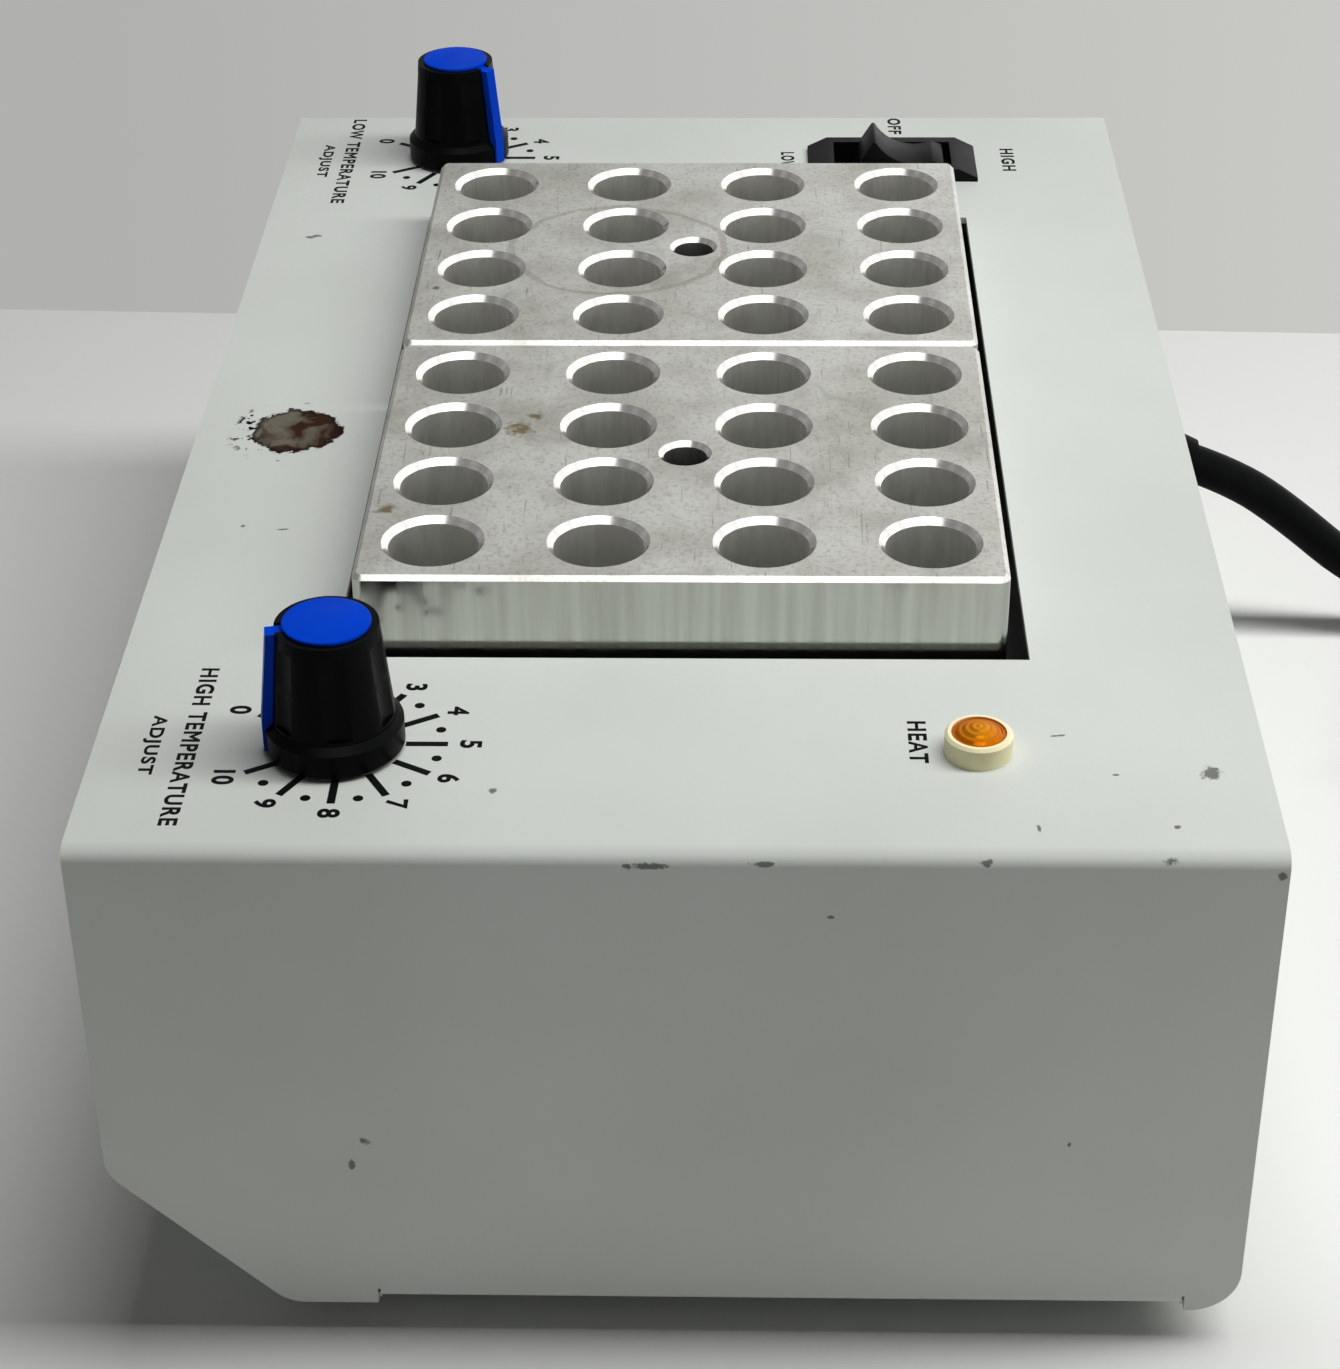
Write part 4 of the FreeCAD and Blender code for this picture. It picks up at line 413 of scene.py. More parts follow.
class LEAD_OT_heater(bpy.types.Operator):
    """Mains lead with its free stretch and its put-away coil, strain relief, tie and plug"""

    bl_idname = "heater.lead"
    bl_label = "Mains lead"

    free_run = [
        (-70.0, 95.47, 37.98),
        (-70.0, 105.0, 34.34),
        (-70.0, 116.0, 26.47),
        (-69.5, 131.0, 13.48),
        (-69.0, 152.0, 5.02),
        (-69.6, 174.0, 4.33),
        (-70.0, 192.4, 5.4),
    ]
    coil_middle = Vector((-17.1, 200.0, 5.4)) * MM
    coil_out = 52.9 * MM
    inward = 5
    outward = 6
    points_per_half_turn = 8

    def route(self, sizes):
        """The lead's control points: the free run, half turns that spiral in, climb a layer and spiral out
        above, and a last quarter turn that ends straight at the plug."""
        step = sizes.pitch / 2
        reaches = [self.coil_out - step * turn for turn in range(self.inward + 2)]
        reaches += [reaches[-1] + step * (turn + 1) for turn in range(1, self.outward + 1)]
        heights = [0.0] * (self.inward + 1) + [sizes.pitch] * (self.outward + 1)
        spots = [
            self.coil_middle + Vector((-reach if turn % 2 == 0 else reach, 0, height))
            for turn, (reach, height) in enumerate(zip(reaches, heights))
        ]
        points = [Vector(point) * MM for point in self.free_run]
        points.append(spots[0].copy())
        slice_angle = math.pi / self.points_per_half_turn
        outside = 1 / math.cos(slice_angle / 2)
        for turn, (start, end) in enumerate(zip(spots, spots[1:])):
            middle = (start + end) / 2
            side = 1 if turn % 2 == 0 else -1
            for number in range(self.points_per_half_turn):
                angle = (number + 0.5) * slice_angle
                along = (start - middle) * math.cos(angle) * outside
                across = Vector((0, side * (end - start).length / 2 * math.sin(angle) * outside, 0))
                points.append(middle + along + across)
        last = reaches[-1] + step / 2
        centre = spots[-1] + Vector((last, 0, 0))
        for number in range(self.points_per_half_turn // 2):
            angle = math.pi - (number + 0.5) * slice_angle
            points.append(centre + Vector((math.cos(angle), math.sin(angle), 0)) * last * outside)
        points.append(centre + Vector((0, last, 0)))
        points.append(centre + Vector((sizes.across, last, 0)))
        return points

    def execute(self, context):
        sizes = settings("lead")
        plastic = settings("plastic")
        # flexible black PVC sheath, extruded: a soft even sheen with faint rub marks, its grain drawn coarser
        # than it is so that it shows
        tree, shader, place = new_material("sheath_pvc", Roughness=0.5, Specular_IOR_Level=0.04)
        rub = add(tree, "ShaderNodeTexNoise", {"Vector": place, "Scale": per(6), "Detail": 4})
        rubbed = [2.2 * part for part in plastic.sheath]
        tone = add(
            tree,
            "ShaderNodeMix",
            {0: rub.outputs["Fac"], 6: opaque(plastic.sheath), 7: opaque(rubbed)},
            data_type="RGBA",
        )
        tree.links.new(tone.outputs[2], shader.inputs["Base Color"])
        grain = add(tree, "ShaderNodeTexNoise", {"Vector": place, "Scale": per(0.9), "Detail": 2})
        bump = add(
            tree, "ShaderNodeBump", {"Height": grain.outputs["Fac"], "Strength": 0.15, "Distance": 0.1 * MM}
        )
        tree.links.new(bump.outputs["Normal"], shader.inputs["Normal"])

        points = self.route(sizes)
        curve = bpy.data.curves.new("lead", "CURVE")
        curve.dimensions = "3D"
        spline = curve.splines.new("NURBS")
        spline.points.add(len(points) - 1)
        for spot, point in zip(spline.points, points):
            spot.co = (*point, 1.0)
        spline.order_u = 3
        spline.use_endpoint_u = True
        spline.resolution_u = 6
        curve.bevel_depth = sizes.across / 2
        curve.bevel_resolution = 5
        curve.use_fill_caps = True
        curve.materials.append(bpy.data.materials["sheath_pvc"])
        lead = bpy.data.objects.new("lead", curve)
        context.scene.collection.objects.link(lead)
        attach(lead, "case")
        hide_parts("power_cord", "cord_coil")
        relief = smoothed("strain_relief", "sheath_pvc")
        tie = smoothed("cord_tie", "sheath_pvc")
        plug = smoothed("plug", "sheath_pvc")
        pins = smoothed("plug_pins", "pin_brass")
        return {"FINISHED"}


# Case


class CASE_OT_heater(bpy.types.Operator):
    """Enamelled cover and wrap, with the chip, the scuffs and the worn bends"""

    bl_idname = "heater.case"
    bl_label = "Case"

    # each mark: middle, reach along each axis, turn about the vertical
    scuffs = [
        ((-68.4, -71.9, 86), (1.2, 2.6, 2), 20),
        ((41.6, -69.4, 86), (1.0, 0.8, 2), 0),
        ((42.6, -63.1, 86), (0.5, 1.6, 2), 4),
        ((114.3, -24.8, 86), (1.2, 1.3, 2), 40),
        ((109.3, 73.2, 86), (3.0, 2.6, 2), 0),
        ((100.1, 53.2, 86), (0.4, 2.0, 2), 8),
        ((122.5, 48.7, 86), (1.6, 0.5, 2), 0),
        ((122.2, 67.1, 86), (0.7, 1.0, 2), 30),
        ((109.8, 60.2, 86), (0.5, 0.8, 2), 0),
        ((129, -3.4, 84.0), (3, 5.2, 0.9), 0),
        ((129, 12.0, 84.4), (3, 3.0, 0.7), 0),
        ((129, 41.3, 84.6), (3, 1.6, 1.0), 0),
        ((129, 65.5, 85.0), (3, 1.8, 1.0), 0),
        ((129, 80.4, 83.2), (3, 1.2, 1.4), 0),
        ((129, 55.2, 36.4), (3, 0.5, 0.9), 0),
        ((129, 21.0, 75.8), (3, 1.2, 0.6), 0),
        ((129, -44.0, 36.0), (3, 1.4, 1.1), 0),
        ((129, -46.0, 31.6), (3, 0.8, 1.8), 0),
        ((129, -81.4, 26.4), (3, 0.8, 2.6), 0),
        ((129, -71.5, 16.9), (3, 1.6, 0.9), 0),
    ]

    def chip(self, tree, place, look, top):
        """How much of the paint is gone, and what shows under it: bare steel and rust, ringed by a painted
        shadow where the cut edge of the paint throws its shade into the chip.
        """
        middle = (look.chip_x, look.chip_y, top)
        reach = [look.chip_reach] * 3
        centred = add(
            tree,
            "ShaderNodeMapping",
            {"Vector": place, "Location": middle, "Scale": reach},
            vector_type="TEXTURE",
        ).outputs[0]
        ragged = add(
            tree, "ShaderNodeTexNoise", {"Vector": place, "Scale": per(4), "Detail": 6, "Roughness": 0.7}
        )
        swing = add(
            tree,
            "ShaderNodeVectorMath",
            {0: ragged.outputs["Color"], 1: (0.5, 0.5, 0.5)},
            operation="SUBTRACT",
        )
        pulled = add(
            tree,
            "ShaderNodeVectorMath",
            {0: swing.outputs[0], 1: (0.9, 0.9, 0.0), 2: centred},
            operation="MULTIPLY_ADD",
        )
        far = add(tree, "ShaderNodeVectorMath", {0: pulled.outputs[0]}, operation="LENGTH").outputs["Value"]
        core = add(tree, "ShaderNodeMapRange", {"Value": far, "From Min": 1.0, "From Max": 0.96}).outputs[0]
        # painted shadow along the chip's edge, for the shade of the paint's cut edge
        edge = add(tree, "ShaderNodeMapRange", {"Value": far, "From Min": 0.8, "From Max": 0.97}).outputs[0]
        flake = add(tree, "ShaderNodeTexNoise", {"Vector": place, "Scale": per(1.4), "Detail": 3})
        front = add(tree, "ShaderNodeSeparateXYZ", {0: centred}).outputs["Y"]
        near = add(
            tree, "ShaderNodeMath", {0: front, 1: -0.1, 2: flake.outputs["Fac"]}, operation="MULTIPLY_ADD"
        )
        loose = add(
            tree, "ShaderNodeMapRange", {"Value": near.outputs[0], "From Min": 0.68, "From Max": 0.7}
        ).outputs[0]
        close = add(tree, "ShaderNodeMapRange", {"Value": far, "From Min": 1.5, "From Max": 1.3}).outputs[0]
        strewn = add(tree, "ShaderNodeMath", {0: loose, 1: close}, operation="MULTIPLY").outputs[0]
        gone = add(tree, "ShaderNodeMath", {0: core, 1: strewn}, operation="MAXIMUM").outputs[0]
        creep = add(
            tree, "ShaderNodeTexNoise", {"Vector": place, "Scale": per(5.5), "Detail": 5, "Distortion": 0.6}
        )
        spread = add(
            tree, "ShaderNodeMath", {0: front, 1: 0.12, 2: creep.outputs["Fac"]}, operation="MULTIPLY_ADD"
        )
        rusty = add(
            tree, "ShaderNodeMapRange", {"Value": spread.outputs[0], "From Min": 0.4, "From Max": 0.56}
        )
        under = add(
            tree,
            "ShaderNodeMix",
            {0: rusty.outputs[0], 6: opaque(look.bare), 7: opaque(look.rust)},
            data_type="RGBA",
        )
        # the painted edge shadow laid over the bare steel and rust
        rimmed = add(
            tree, "ShaderNodeMix", {0: edge, 6: under.outputs[2], 7: opaque(look.rust_dark)}, data_type="RGBA"
        )
        return gone, rimmed.outputs[2]

    def marks(self, tree, place):
        """Where the paint is scuffed: the listed marks, broken up by a fine noise."""
        listed = [(Vector(middle) * MM, Vector(reach) * MM, turn) for middle, reach, turn in self.scuffs]
        scuffed = blotches(tree, place, listed)
        broken = add(
            tree, "ShaderNodeTexNoise", {"Vector": place, "Scale": per(1.3), "Detail": 3, "Roughness": 0.65}
        )
        spread = add(
            tree, "ShaderNodeMath", {0: broken.outputs["Fac"], 1: 1.3, 2: -0.75}, operation="MULTIPLY_ADD"
        )
        level = add(tree, "ShaderNodeMath", {0: scuffed, 1: spread.outputs[0]}, operation="ADD")
        return add(
            tree, "ShaderNodeMapRange", {"Value": level.outputs[0], "From Min": 0.3, "From Max": 0.5}
        ).outputs[0]

    def execute(self, context):
        look = settings("case")
        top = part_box("cover")[1].z
        # stoved enamel on sheet steel, sprayed: an even satin grey with a fine orange peel
        tree, shader, place = new_material("grey_enamel", IOR=1.5)
        cloud = add(tree, "ShaderNodeTexNoise", {"Vector": place, "Scale": per(70), "Detail": 4})
        dulled = add(
            tree, "ShaderNodeMapRange", {"Value": cloud.outputs["Fac"], "From Min": 0.35, "From Max": 0.75}
        )
        paint = add(
            tree,
            "ShaderNodeMix",
            {0: dulled.outputs[0], 6: opaque(look.paint), 7: opaque(look.paint_worn)},
            data_type="RGBA",
        )
        scuffed = self.marks(tree, place)
        worn = add(
            tree, "ShaderNodeMix", {0: scuffed, 6: paint.outputs[2], 7: opaque(look.scuff)}, data_type="RGBA"
        )
        gone, under = self.chip(tree, place, look, top)
        shown = add(tree, "ShaderNodeMix", {0: gone, 6: worn.outputs[2], 7: under}, data_type="RGBA")
        tree.links.new(shown.outputs[2], shader.inputs["Base Color"])
        rough = add(tree, "ShaderNodeMapRange", {"Value": gone, "To Min": 0.46, "To Max": 0.85})
        tree.links.new(rough.outputs[0], shader.inputs["Roughness"])
        sheen = add(tree, "ShaderNodeMapRange", {"Value": gone, "To Min": 0.5, "To Max": 0.05})
        tree.links.new(sheen.outputs[0], shader.inputs["Specular IOR Level"])
        peel = add(tree, "ShaderNodeTexNoise", {"Vector": place, "Scale": per(1.1), "Detail": 2})
        sunk = add(
            tree, "ShaderNodeMath", {0: gone, 1: -4.0, 2: peel.outputs["Fac"]}, operation="MULTIPLY_ADD"
        )
        bump = add(
            tree, "ShaderNodeBump", {"Height": sunk.outputs[0], "Strength": 0.35, "Distance": 0.08 * MM}
        )
        tree.links.new(bump.outputs["Normal"], shader.inputs["Normal"])
        smoothed("cover", "grey_enamel")
        smoothed("base_wrap", "grey_enamel")
        return {"FINISHED"}


# Heating blocks


class BLOCKS_OT_heater(bpy.types.Operator):
    """Machined aluminium blocks with bright rims, drilled bores, stains and scratches"""

    bl_idname = "heater.blocks"
    bl_label = "Heating blocks"

    # each stain: middle and reach
    stains = [
        ((32.1, -26.1, 98.2), 4.2),
        ((27.5, -23.8, 98.2), 2.2),
        ((-19.8, -43.7, 98.2), 1.5),
        ((58.0, -44.6, 98.2), 2.4),
    ]
    ring = (-35.6, -13.1, 98.2)
    ring_reach = 18.5
    # each set of scratches: turn, width and length
    scratches = [(20, 0.5, 12), (65, 0.4, 8), (-35, 0.35, 10)]
    surfaces = ["milled_aluminium", "turned_rim", "drilled_bore", "sawn_side", "well_bore"]
    inset = 2 * MM
    skin = 0.5 * MM
    well_reach = 4.5 * MM
    rim_slope = (0.3, 0.95)
    side_slope = 0.1

    def aluminium(self, look):
        """Milled aluminium, worn satin by handling: greyed patches, fine scratches and dried spills. Its
        grain and scratches are drawn coarser than they are so that they show."""
        tree, shader, place = new_material("milled_aluminium", Metallic=1.0)
        cloud = add(
            tree, "ShaderNodeTexNoise", {"Vector": place, "Scale": per(16), "Detail": 6, "Roughness": 0.6}
        )
        dulled = add(
            tree, "ShaderNodeMapRange", {"Value": cloud.outputs["Fac"], "From Min": 0.4, "From Max": 0.68}
        ).outputs[0]
        metal = add(
            tree,
            "ShaderNodeMix",
            {0: dulled, 6: opaque(look.aluminium), 7: opaque(look.dull)},
            data_type="RGBA",
        )
        grit = add(tree, "ShaderNodeTexNoise", {"Vector": place, "Scale": per(0.8), "Detail": 3})
        smear = add(
            tree,
            "ShaderNodeTexNoise",
            {"Vector": place, "Scale": per(9), "Detail": 9, "Roughness": 0.72, "Distortion": 0.8},
        )
        grime = add(
            tree,
            "ShaderNodeMapRange",
            {"Value": smear.outputs["Fac"], "From Min": 0.54, "From Max": 0.72, "To Max": 0.5},
        )
        speck = add(
            tree,
            "ShaderNodeMapRange",
            {"Value": grit.outputs["Fac"], "From Min": 0.5, "From Max": 0.75, "To Max": 0.45},
        )
        dirt = add(
            tree,
            "ShaderNodeMath",
            {0: grime.outputs["Result"], 1: speck.outputs["Result"]},
            operation="MAXIMUM",
        )
        used = add(
            tree,
            "ShaderNodeMix",
            {0: dirt.outputs[0], 6: metal.outputs[2], 7: opaque(look.grime)},
            data_type="RGBA",
        )
        spills = [(Vector(middle) * MM, [reach * MM] * 3, 0) for middle, reach in self.stains]
        spilt = blotches(tree, place, spills)
        fleck = add(
            tree, "ShaderNodeTexNoise", {"Vector": place, "Scale": per(1.6), "Detail": 4, "Roughness": 0.7}
        )
        broken = add(
            tree, "ShaderNodeMath", {0: fleck.outputs["Fac"], 1: 1.6, 2: -0.85}, operation="MULTIPLY_ADD"
        )
        level = add(tree, "ShaderNodeMath", {0: spilt, 1: broken.outputs[0]}, operation="ADD")
        blots = add(
            tree, "ShaderNodeMapRange", {"Value": level.outputs[0], "From Min": 0.3, "From Max": 0.7}
        ).outputs[0]
        around = add(
            tree,
            "ShaderNodeMapping",
            {"Vector": place, "Location": Vector(self.ring) * MM, "Scale": [self.ring_reach * MM] * 3},
            vector_type="TEXTURE",
        )
        away = add(tree, "ShaderNodeVectorMath", {0: around.outputs[0]}, operation="LENGTH").outputs["Value"]
        wander = add(
            tree, "ShaderNodeMath", {0: cloud.outputs["Fac"], 1: 0.3, 2: away}, operation="MULTIPLY_ADD"
        )
        on_ring = add(
            tree, "ShaderNodeMath", {0: wander.outputs[0], 1: 1.15, 2: 0.03}, operation="COMPARE"
        ).outputs[0]
        dried = add(tree, "ShaderNodeMath", {0: on_ring, 1: 0.3}, operation="MULTIPLY").outputs[0]
        stained = add(tree, "ShaderNodeMath", {0: blots, 1: dried}, operation="MAXIMUM").outputs[0]
        spoiled = add(
            tree, "ShaderNodeMix", {0: stained, 6: used.outputs[2], 7: opaque(look.stain)}, data_type="RGBA"
        )

        scratched = 0.0
        for turn, wide, long in self.scratches:
            along = add(
                tree,
                "ShaderNodeMapping",
                {
                    "Vector": place,
                    "Rotation": (0, 0, math.radians(turn)),
                    "Scale": (per(long), per(wide), per(wide)),
                },
            )
            streak = add(tree, "ShaderNodeTexNoise", {"Vector": along.outputs[0], "Scale": 1, "Detail": 1})
            line = add(
                tree,
                "ShaderNodeMapRange",
                {"Value": streak.outputs["Fac"], "From Min": 0.74, "From Max": 0.8},
            )
            both = {0: scratched, 1: line.outputs[0]}
            scratched = add(tree, "ShaderNodeMath", both, operation="MAXIMUM").outputs[0]
        cut = add(tree, "ShaderNodeMath", {0: scratched, 1: 0.6}, operation="MULTIPLY").outputs[0]
        groove = [0.45 * part for part in look.dull]
        shown = add(
            tree, "ShaderNodeMix", {0: cut, 6: spoiled.outputs[2], 7: opaque(groove)}, data_type="RGBA"
        )
        tree.links.new(shown.outputs[2], shader.inputs["Base Color"])
        rough = add(tree, "ShaderNodeMapRange", {"Value": dulled, "To Min": 0.3, "To Max": 0.44})
        rougher = add(
            tree, "ShaderNodeMath", {0: stained, 1: 0.3, 2: rough.outputs[0]}, operation="MULTIPLY_ADD"
        )
        tree.links.new(rougher.outputs[0], shader.inputs["Roughness"])
        mill = add(tree, "ShaderNodeTexNoise", {"Vector": place, "Scale": per(0.7), "Detail": 3})
        height = add(
            tree, "ShaderNodeMath", {0: cut, 1: -2.0, 2: mill.outputs["Fac"]}, operation="MULTIPLY_ADD"
        )
        bump = add(
            tree, "ShaderNodeBump", {"Height": height.outputs[0], "Strength": 0.2, "Distance": 0.03 * MM}
        )
        tree.links.new(bump.outputs["Normal"], shader.inputs["Normal"])

    def cut_metal(self, name, tint, roughness, across, upright, dark):
        """Turned, drilled or sawn aluminium, with the rings or streaks that the tool leaves, drawn coarser
        than they are so that they show."""
        tree, shader, place = new_material(name, Metallic=1.0)
        marks = add(
            tree,
            "ShaderNodeMapping",
            {"Vector": place, "Scale": (per(across), per(across), per(upright))},
        )
        tool = add(tree, "ShaderNodeTexNoise", {"Vector": marks.outputs[0], "Scale": 1, "Detail": 3})
        streak = add(
            tree, "ShaderNodeMapRange", {"Value": tool.outputs["Fac"], "From Min": 0.35, "From Max": 0.65}
        ).outputs["Result"]
        darker = [dark * part for part in tint]
        tone = add(tree, "ShaderNodeMix", {0: streak, 6: opaque(tint), 7: opaque(darker)}, data_type="RGBA")
        tree.links.new(tone.outputs[2], shader.inputs["Base Color"])
        rough = add(
            tree,
            "ShaderNodeMapRange",
            {"Value": streak, "To Min": roughness - 0.06, "To Max": roughness + 0.06},
        )
        tree.links.new(rough.outputs[0], shader.inputs["Roughness"])

    def execute(self, context):
        look = settings("block")
        self.aluminium(look)
        # countersunk rims, bright with fine rings
        self.cut_metal("turned_rim", look.rim, roughness=0.16, across=6, upright=0.3, dark=0.88)
        # tube bores, soft and streaked along the drill
        self.cut_metal("drilled_bore", look.bore, roughness=0.5, across=1.8, upright=14, dark=0.72)
        # sides, fairly bright with streaks down them
        self.cut_metal("sawn_side", look.side, roughness=0.17, across=1.6, upright=30, dark=0.84)
        # thermometer bores, like the others but darker
        darkened = [0.4 * part for part in look.bore]
        self.cut_metal("well_bore", darkened, roughness=0.5, across=1.8, upright=14, dark=0.6)
        for side in ("left", "right"):
            node = f"heating_block_{side}"
            form = smoothed(node, *self.surfaces)
            low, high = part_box(node)
            for face in form.data.polygons:
                face.material_index = self.surfaces.index(self.surface(face, low, high))
        return {"FINISHED"}

    def surface(self, face, low, high):
        """The surface that a face of a block belongs to, by its place and slope."""
        at = face.center
        inside = all(low[axis] + self.inset < at[axis] < high[axis] - self.inset for axis in (0, 1))
        if inside and self.rim_slope[0] < face.normal.z < self.rim_slope[1]:
            return "turned_rim"
        if inside and low.z + self.inset < at.z < high.z - self.skin:
            in_well = (at - (low + high) / 2).xy.length < self.well_reach
            return "well_bore" if in_well else "drilled_bore"
        if abs(face.normal.z) < self.side_slope:
            return "sawn_side"
        return "milled_aluminium"


# Dials, switch and lamp


def moulded(name, tint, roughness, sheen, grain, bump_depth):
    """Moulded plastic: one colour with a faint cloud in it, and the fine grain of the mould, which is drawn
    coarser than it is so that it shows."""
    tree, shader, place = new_material(name, Specular_IOR_Level=sheen)
    cloud = add(tree, "ShaderNodeTexNoise", {"Vector": place, "Scale": per(5), "Detail": 4})
    darker = [0.85 * part for part in tint]
    lighter = [min(1.15 * part, 1) for part in tint]
    tone = add(
        tree,
        "ShaderNodeMix",
        {0: cloud.outputs["Fac"], 6: opaque(darker), 7: opaque(lighter)},
        data_type="RGBA",
    )
    tree.links.new(tone.outputs[2], shader.inputs["Base Color"])
    rough = add(
        tree,
        "ShaderNodeMapRange",
        {"Value": cloud.outputs["Fac"], "To Min": roughness - 0.08, "To Max": roughness + 0.08},
    )
    tree.links.new(rough.outputs[0], shader.inputs["Roughness"])
    skin = add(tree, "ShaderNodeTexNoise", {"Vector": place, "Scale": per(grain), "Detail": 2})
    bump = add(
        tree, "ShaderNodeBump", {"Height": skin.outputs["Fac"], "Strength": 0.3, "Distance": bump_depth * MM}
    )
    tree.links.new(bump.outputs["Normal"], shader.inputs["Normal"])


class CONTROLS_OT_heater(bpy.types.Operator):
    """Knobs with their caps, the rocker switch and the heat lamp"""

    bl_idname = "heater.controls"
    bl_label = "Dials, switch and lamp"

    # the rocker's profile across its pivot: a scooped high side and a sloped low side
    pivot = Vector((-102.4, 37.6, 83.5)) * MM
    tilt = math.radians(22)
    rocker_depth = 10.4
    foot = [(-4.0, -5.2), (4.0, -5.2), (10.5, -2.6), (11.0, 0.85)]
    scoop_middle = Vector((9.4, 11.5))
    scoop_round = 9.17
    scoop_from = 269
    scoop_to = 190
    scoop_points = 12
    slope = [(0.0, 10.25), (-3.3, 7.9), (-5.2, 5.4), (-7.6, 3.4), (-11.0, 0.85), (-10.5, -2.6)]
    trunnion_across = 2.2 * MM
    trunnion_reach = 0.75 * MM
    trunnion_points = 32
    edge_angle = math.radians(35)
    edge_round = 0.25 * MM

    lens_drop = 0.25 * MM
    lens_rise = 0.4 * MM
    lens_points = 40
    lens_steps = 72
    lens_smooth = math.radians(40)
    rings = 4
    ripple = 0.2 * MM

    def amber(self, look):
        """Clear amber acrylic, moulded with rings and glossy: deep amber at its rim, with a painted glow at
        its middle, a brighter yellow that stands for the light its rings throw back. A part of metal in it
        stands for the amber light that its back throws forward."""
        tree, shader, place = new_material(
            "amber_acrylic",
            Metallic=0.4,
            Roughness=0.12,
            Specular_IOR_Level=0.3,
            Specular_Tint=opaque(look.glint),
        )
        low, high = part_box("lamp_lens")
        # painted glow, strongest at the lens's middle and fading to the amber of its rim
        inner = blotches(tree, place, [((low + high) / 2, [(high.x - low.x) / 2] * 3, 0)])
        depth = add(
            tree,
            "ShaderNodeMix",
            {0: inner, 6: opaque(look.amber), 7: opaque(look.amber_clear)},
            data_type="RGBA",
        )
        tree.links.new(depth.outputs[2], shader.inputs["Base Color"])

    def rocker(self):
        """The peaked rocker with its trunnions: a profile drawn out along the pivot, its edges softened."""
        outline = list(self.foot)
        for number in range(self.scoop_points):
            share = number / (self.scoop_points - 1)
            angle = math.radians(self.scoop_from + (self.scoop_to - self.scoop_from) * share)
            outline.append(self.scoop_middle + self.scoop_round * Vector((math.cos(angle), math.sin(angle))))
        outline += self.slope
        tilted = Matrix.Rotation(self.tilt, 3, "X")
        half = self.rocker_depth / 2
        points = [self.pivot + tilted @ Vector((-half, y, z)) * MM for y, z in outline]
        form = traced("rocker_form", points)
        bpy.ops.mesh.edge_face_add()
        along = Vector((self.rocker_depth * MM, 0, 0))
        bpy.ops.mesh.extrude_region_move(TRANSFORM_OT_translate={"value": along})
        bpy.ops.mesh.select_all(action="SELECT")
        bpy.ops.mesh.normals_make_consistent(inside=False)
        bpy.ops.object.mode_set(mode="OBJECT")
        soft = form.modifiers.new("soft", "BEVEL")
        soft.limit_method = "ANGLE"
        soft.angle_limit = self.edge_angle
        soft.width = self.edge_round
        soft.segments = 2
        bpy.ops.object.modifier_apply(modifier="soft")
        bpy.ops.mesh.primitive_cylinder_add(
            vertices=self.trunnion_points,
            radius=self.trunnion_across / 2,
            depth=self.rocker_depth * MM + 2 * self.trunnion_reach,
            location=self.pivot,
            rotation=(0, math.pi / 2, 0),
        )
        trunnion = bpy.context.object
        only(form)
        joined = form.modifiers.new("joined", "BOOLEAN")
        joined.operation = "UNION"
        joined.object = trunnion
        bpy.ops.object.modifier_apply(modifier="joined")
        bpy.data.objects.remove(trunnion)
        bpy.ops.object.shade_smooth_by_angle(angle=SMOOTH_ANGLE)
        form.data.materials.append(bpy.data.materials["switch_nylon"])
        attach(form, "rocker")
        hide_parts("switch_rocker")

    def lens(self):
        """The domed lens with its moulded rings, spun from its profile."""
        low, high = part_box("lamp_lens")
        middle = (low + high) / 2
        radius = (high.x - low.x) / 2
        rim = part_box("lamp_bezel")[1].z - self.lens_drop
        points = [Vector((middle.x, middle.y, low.z)), Vector((middle.x + radius, middle.y, low.z))]
        for number in range(self.lens_points + 1):
            inward = number / self.lens_points
            ripple = self.ripple * math.sin(math.pi * self.rings * inward) ** 2 * (1 - inward / 2)
            rise = (high.z + self.lens_rise - rim) * math.sin(math.pi / 2 * inward)
            points.append(Vector((middle.x + radius * (1 - inward), middle.y, rim + rise - ripple)))
        dome = traced("lamp_dome", points)
        bpy.ops.mesh.spin(steps=self.lens_steps, angle=2 * math.pi, center=middle, axis=(0, 0, 1))
        bpy.ops.mesh.select_all(action="SELECT")
        bpy.ops.mesh.remove_doubles(threshold=0.002 * MM)
        bpy.ops.mesh.normals_make_consistent(inside=False)
        bpy.ops.object.mode_set(mode="OBJECT")
        bpy.ops.object.shade_smooth_by_angle(angle=self.lens_smooth)
        dome.data.materials.append(bpy.data.materials["amber_acrylic"])
        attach(dome, "case")
        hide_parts("lamp_lens")

    def execute(self, context):
        look = settings("plastic")
        # moulded ABS of the knobs: deep black with a soft sheen
        moulded("knob_abs", look.knob, roughness=0.36, sheen=0.05, grain=0.4, bump_depth=0.02)
        # moulded ABS of the caps: a strong even blue with little sheen
        moulded("cap_abs", look.cap, roughness=0.34, sheen=0.02, grain=0.6, bump_depth=0.01)
        # moulded nylon of the switch: black, a little paler and duller than the knobs
        moulded("switch_nylon", look.switch, roughness=0.42, sheen=0.07, grain=0.5, bump_depth=0.02)
        # moulded nylon of the lamp's bezel: warm ivory with a faint shine
        moulded("bezel_ivory", look.ivory, roughness=0.4, sheen=0.3, grain=0.8, bump_depth=0.01)
        self.amber(look)
        for dial in ("low", "high"):
            smoothed(f"{dial}_knob", "knob_abs")
            smoothed(f"{dial}_knob_cap", "cap_abs")
        smoothed("switch_housing", "switch_nylon")
        self.rocker()
        smoothed("lamp_bezel", "bezel_ivory")
        self.lens()
        return {"FINISHED"}


# Printing


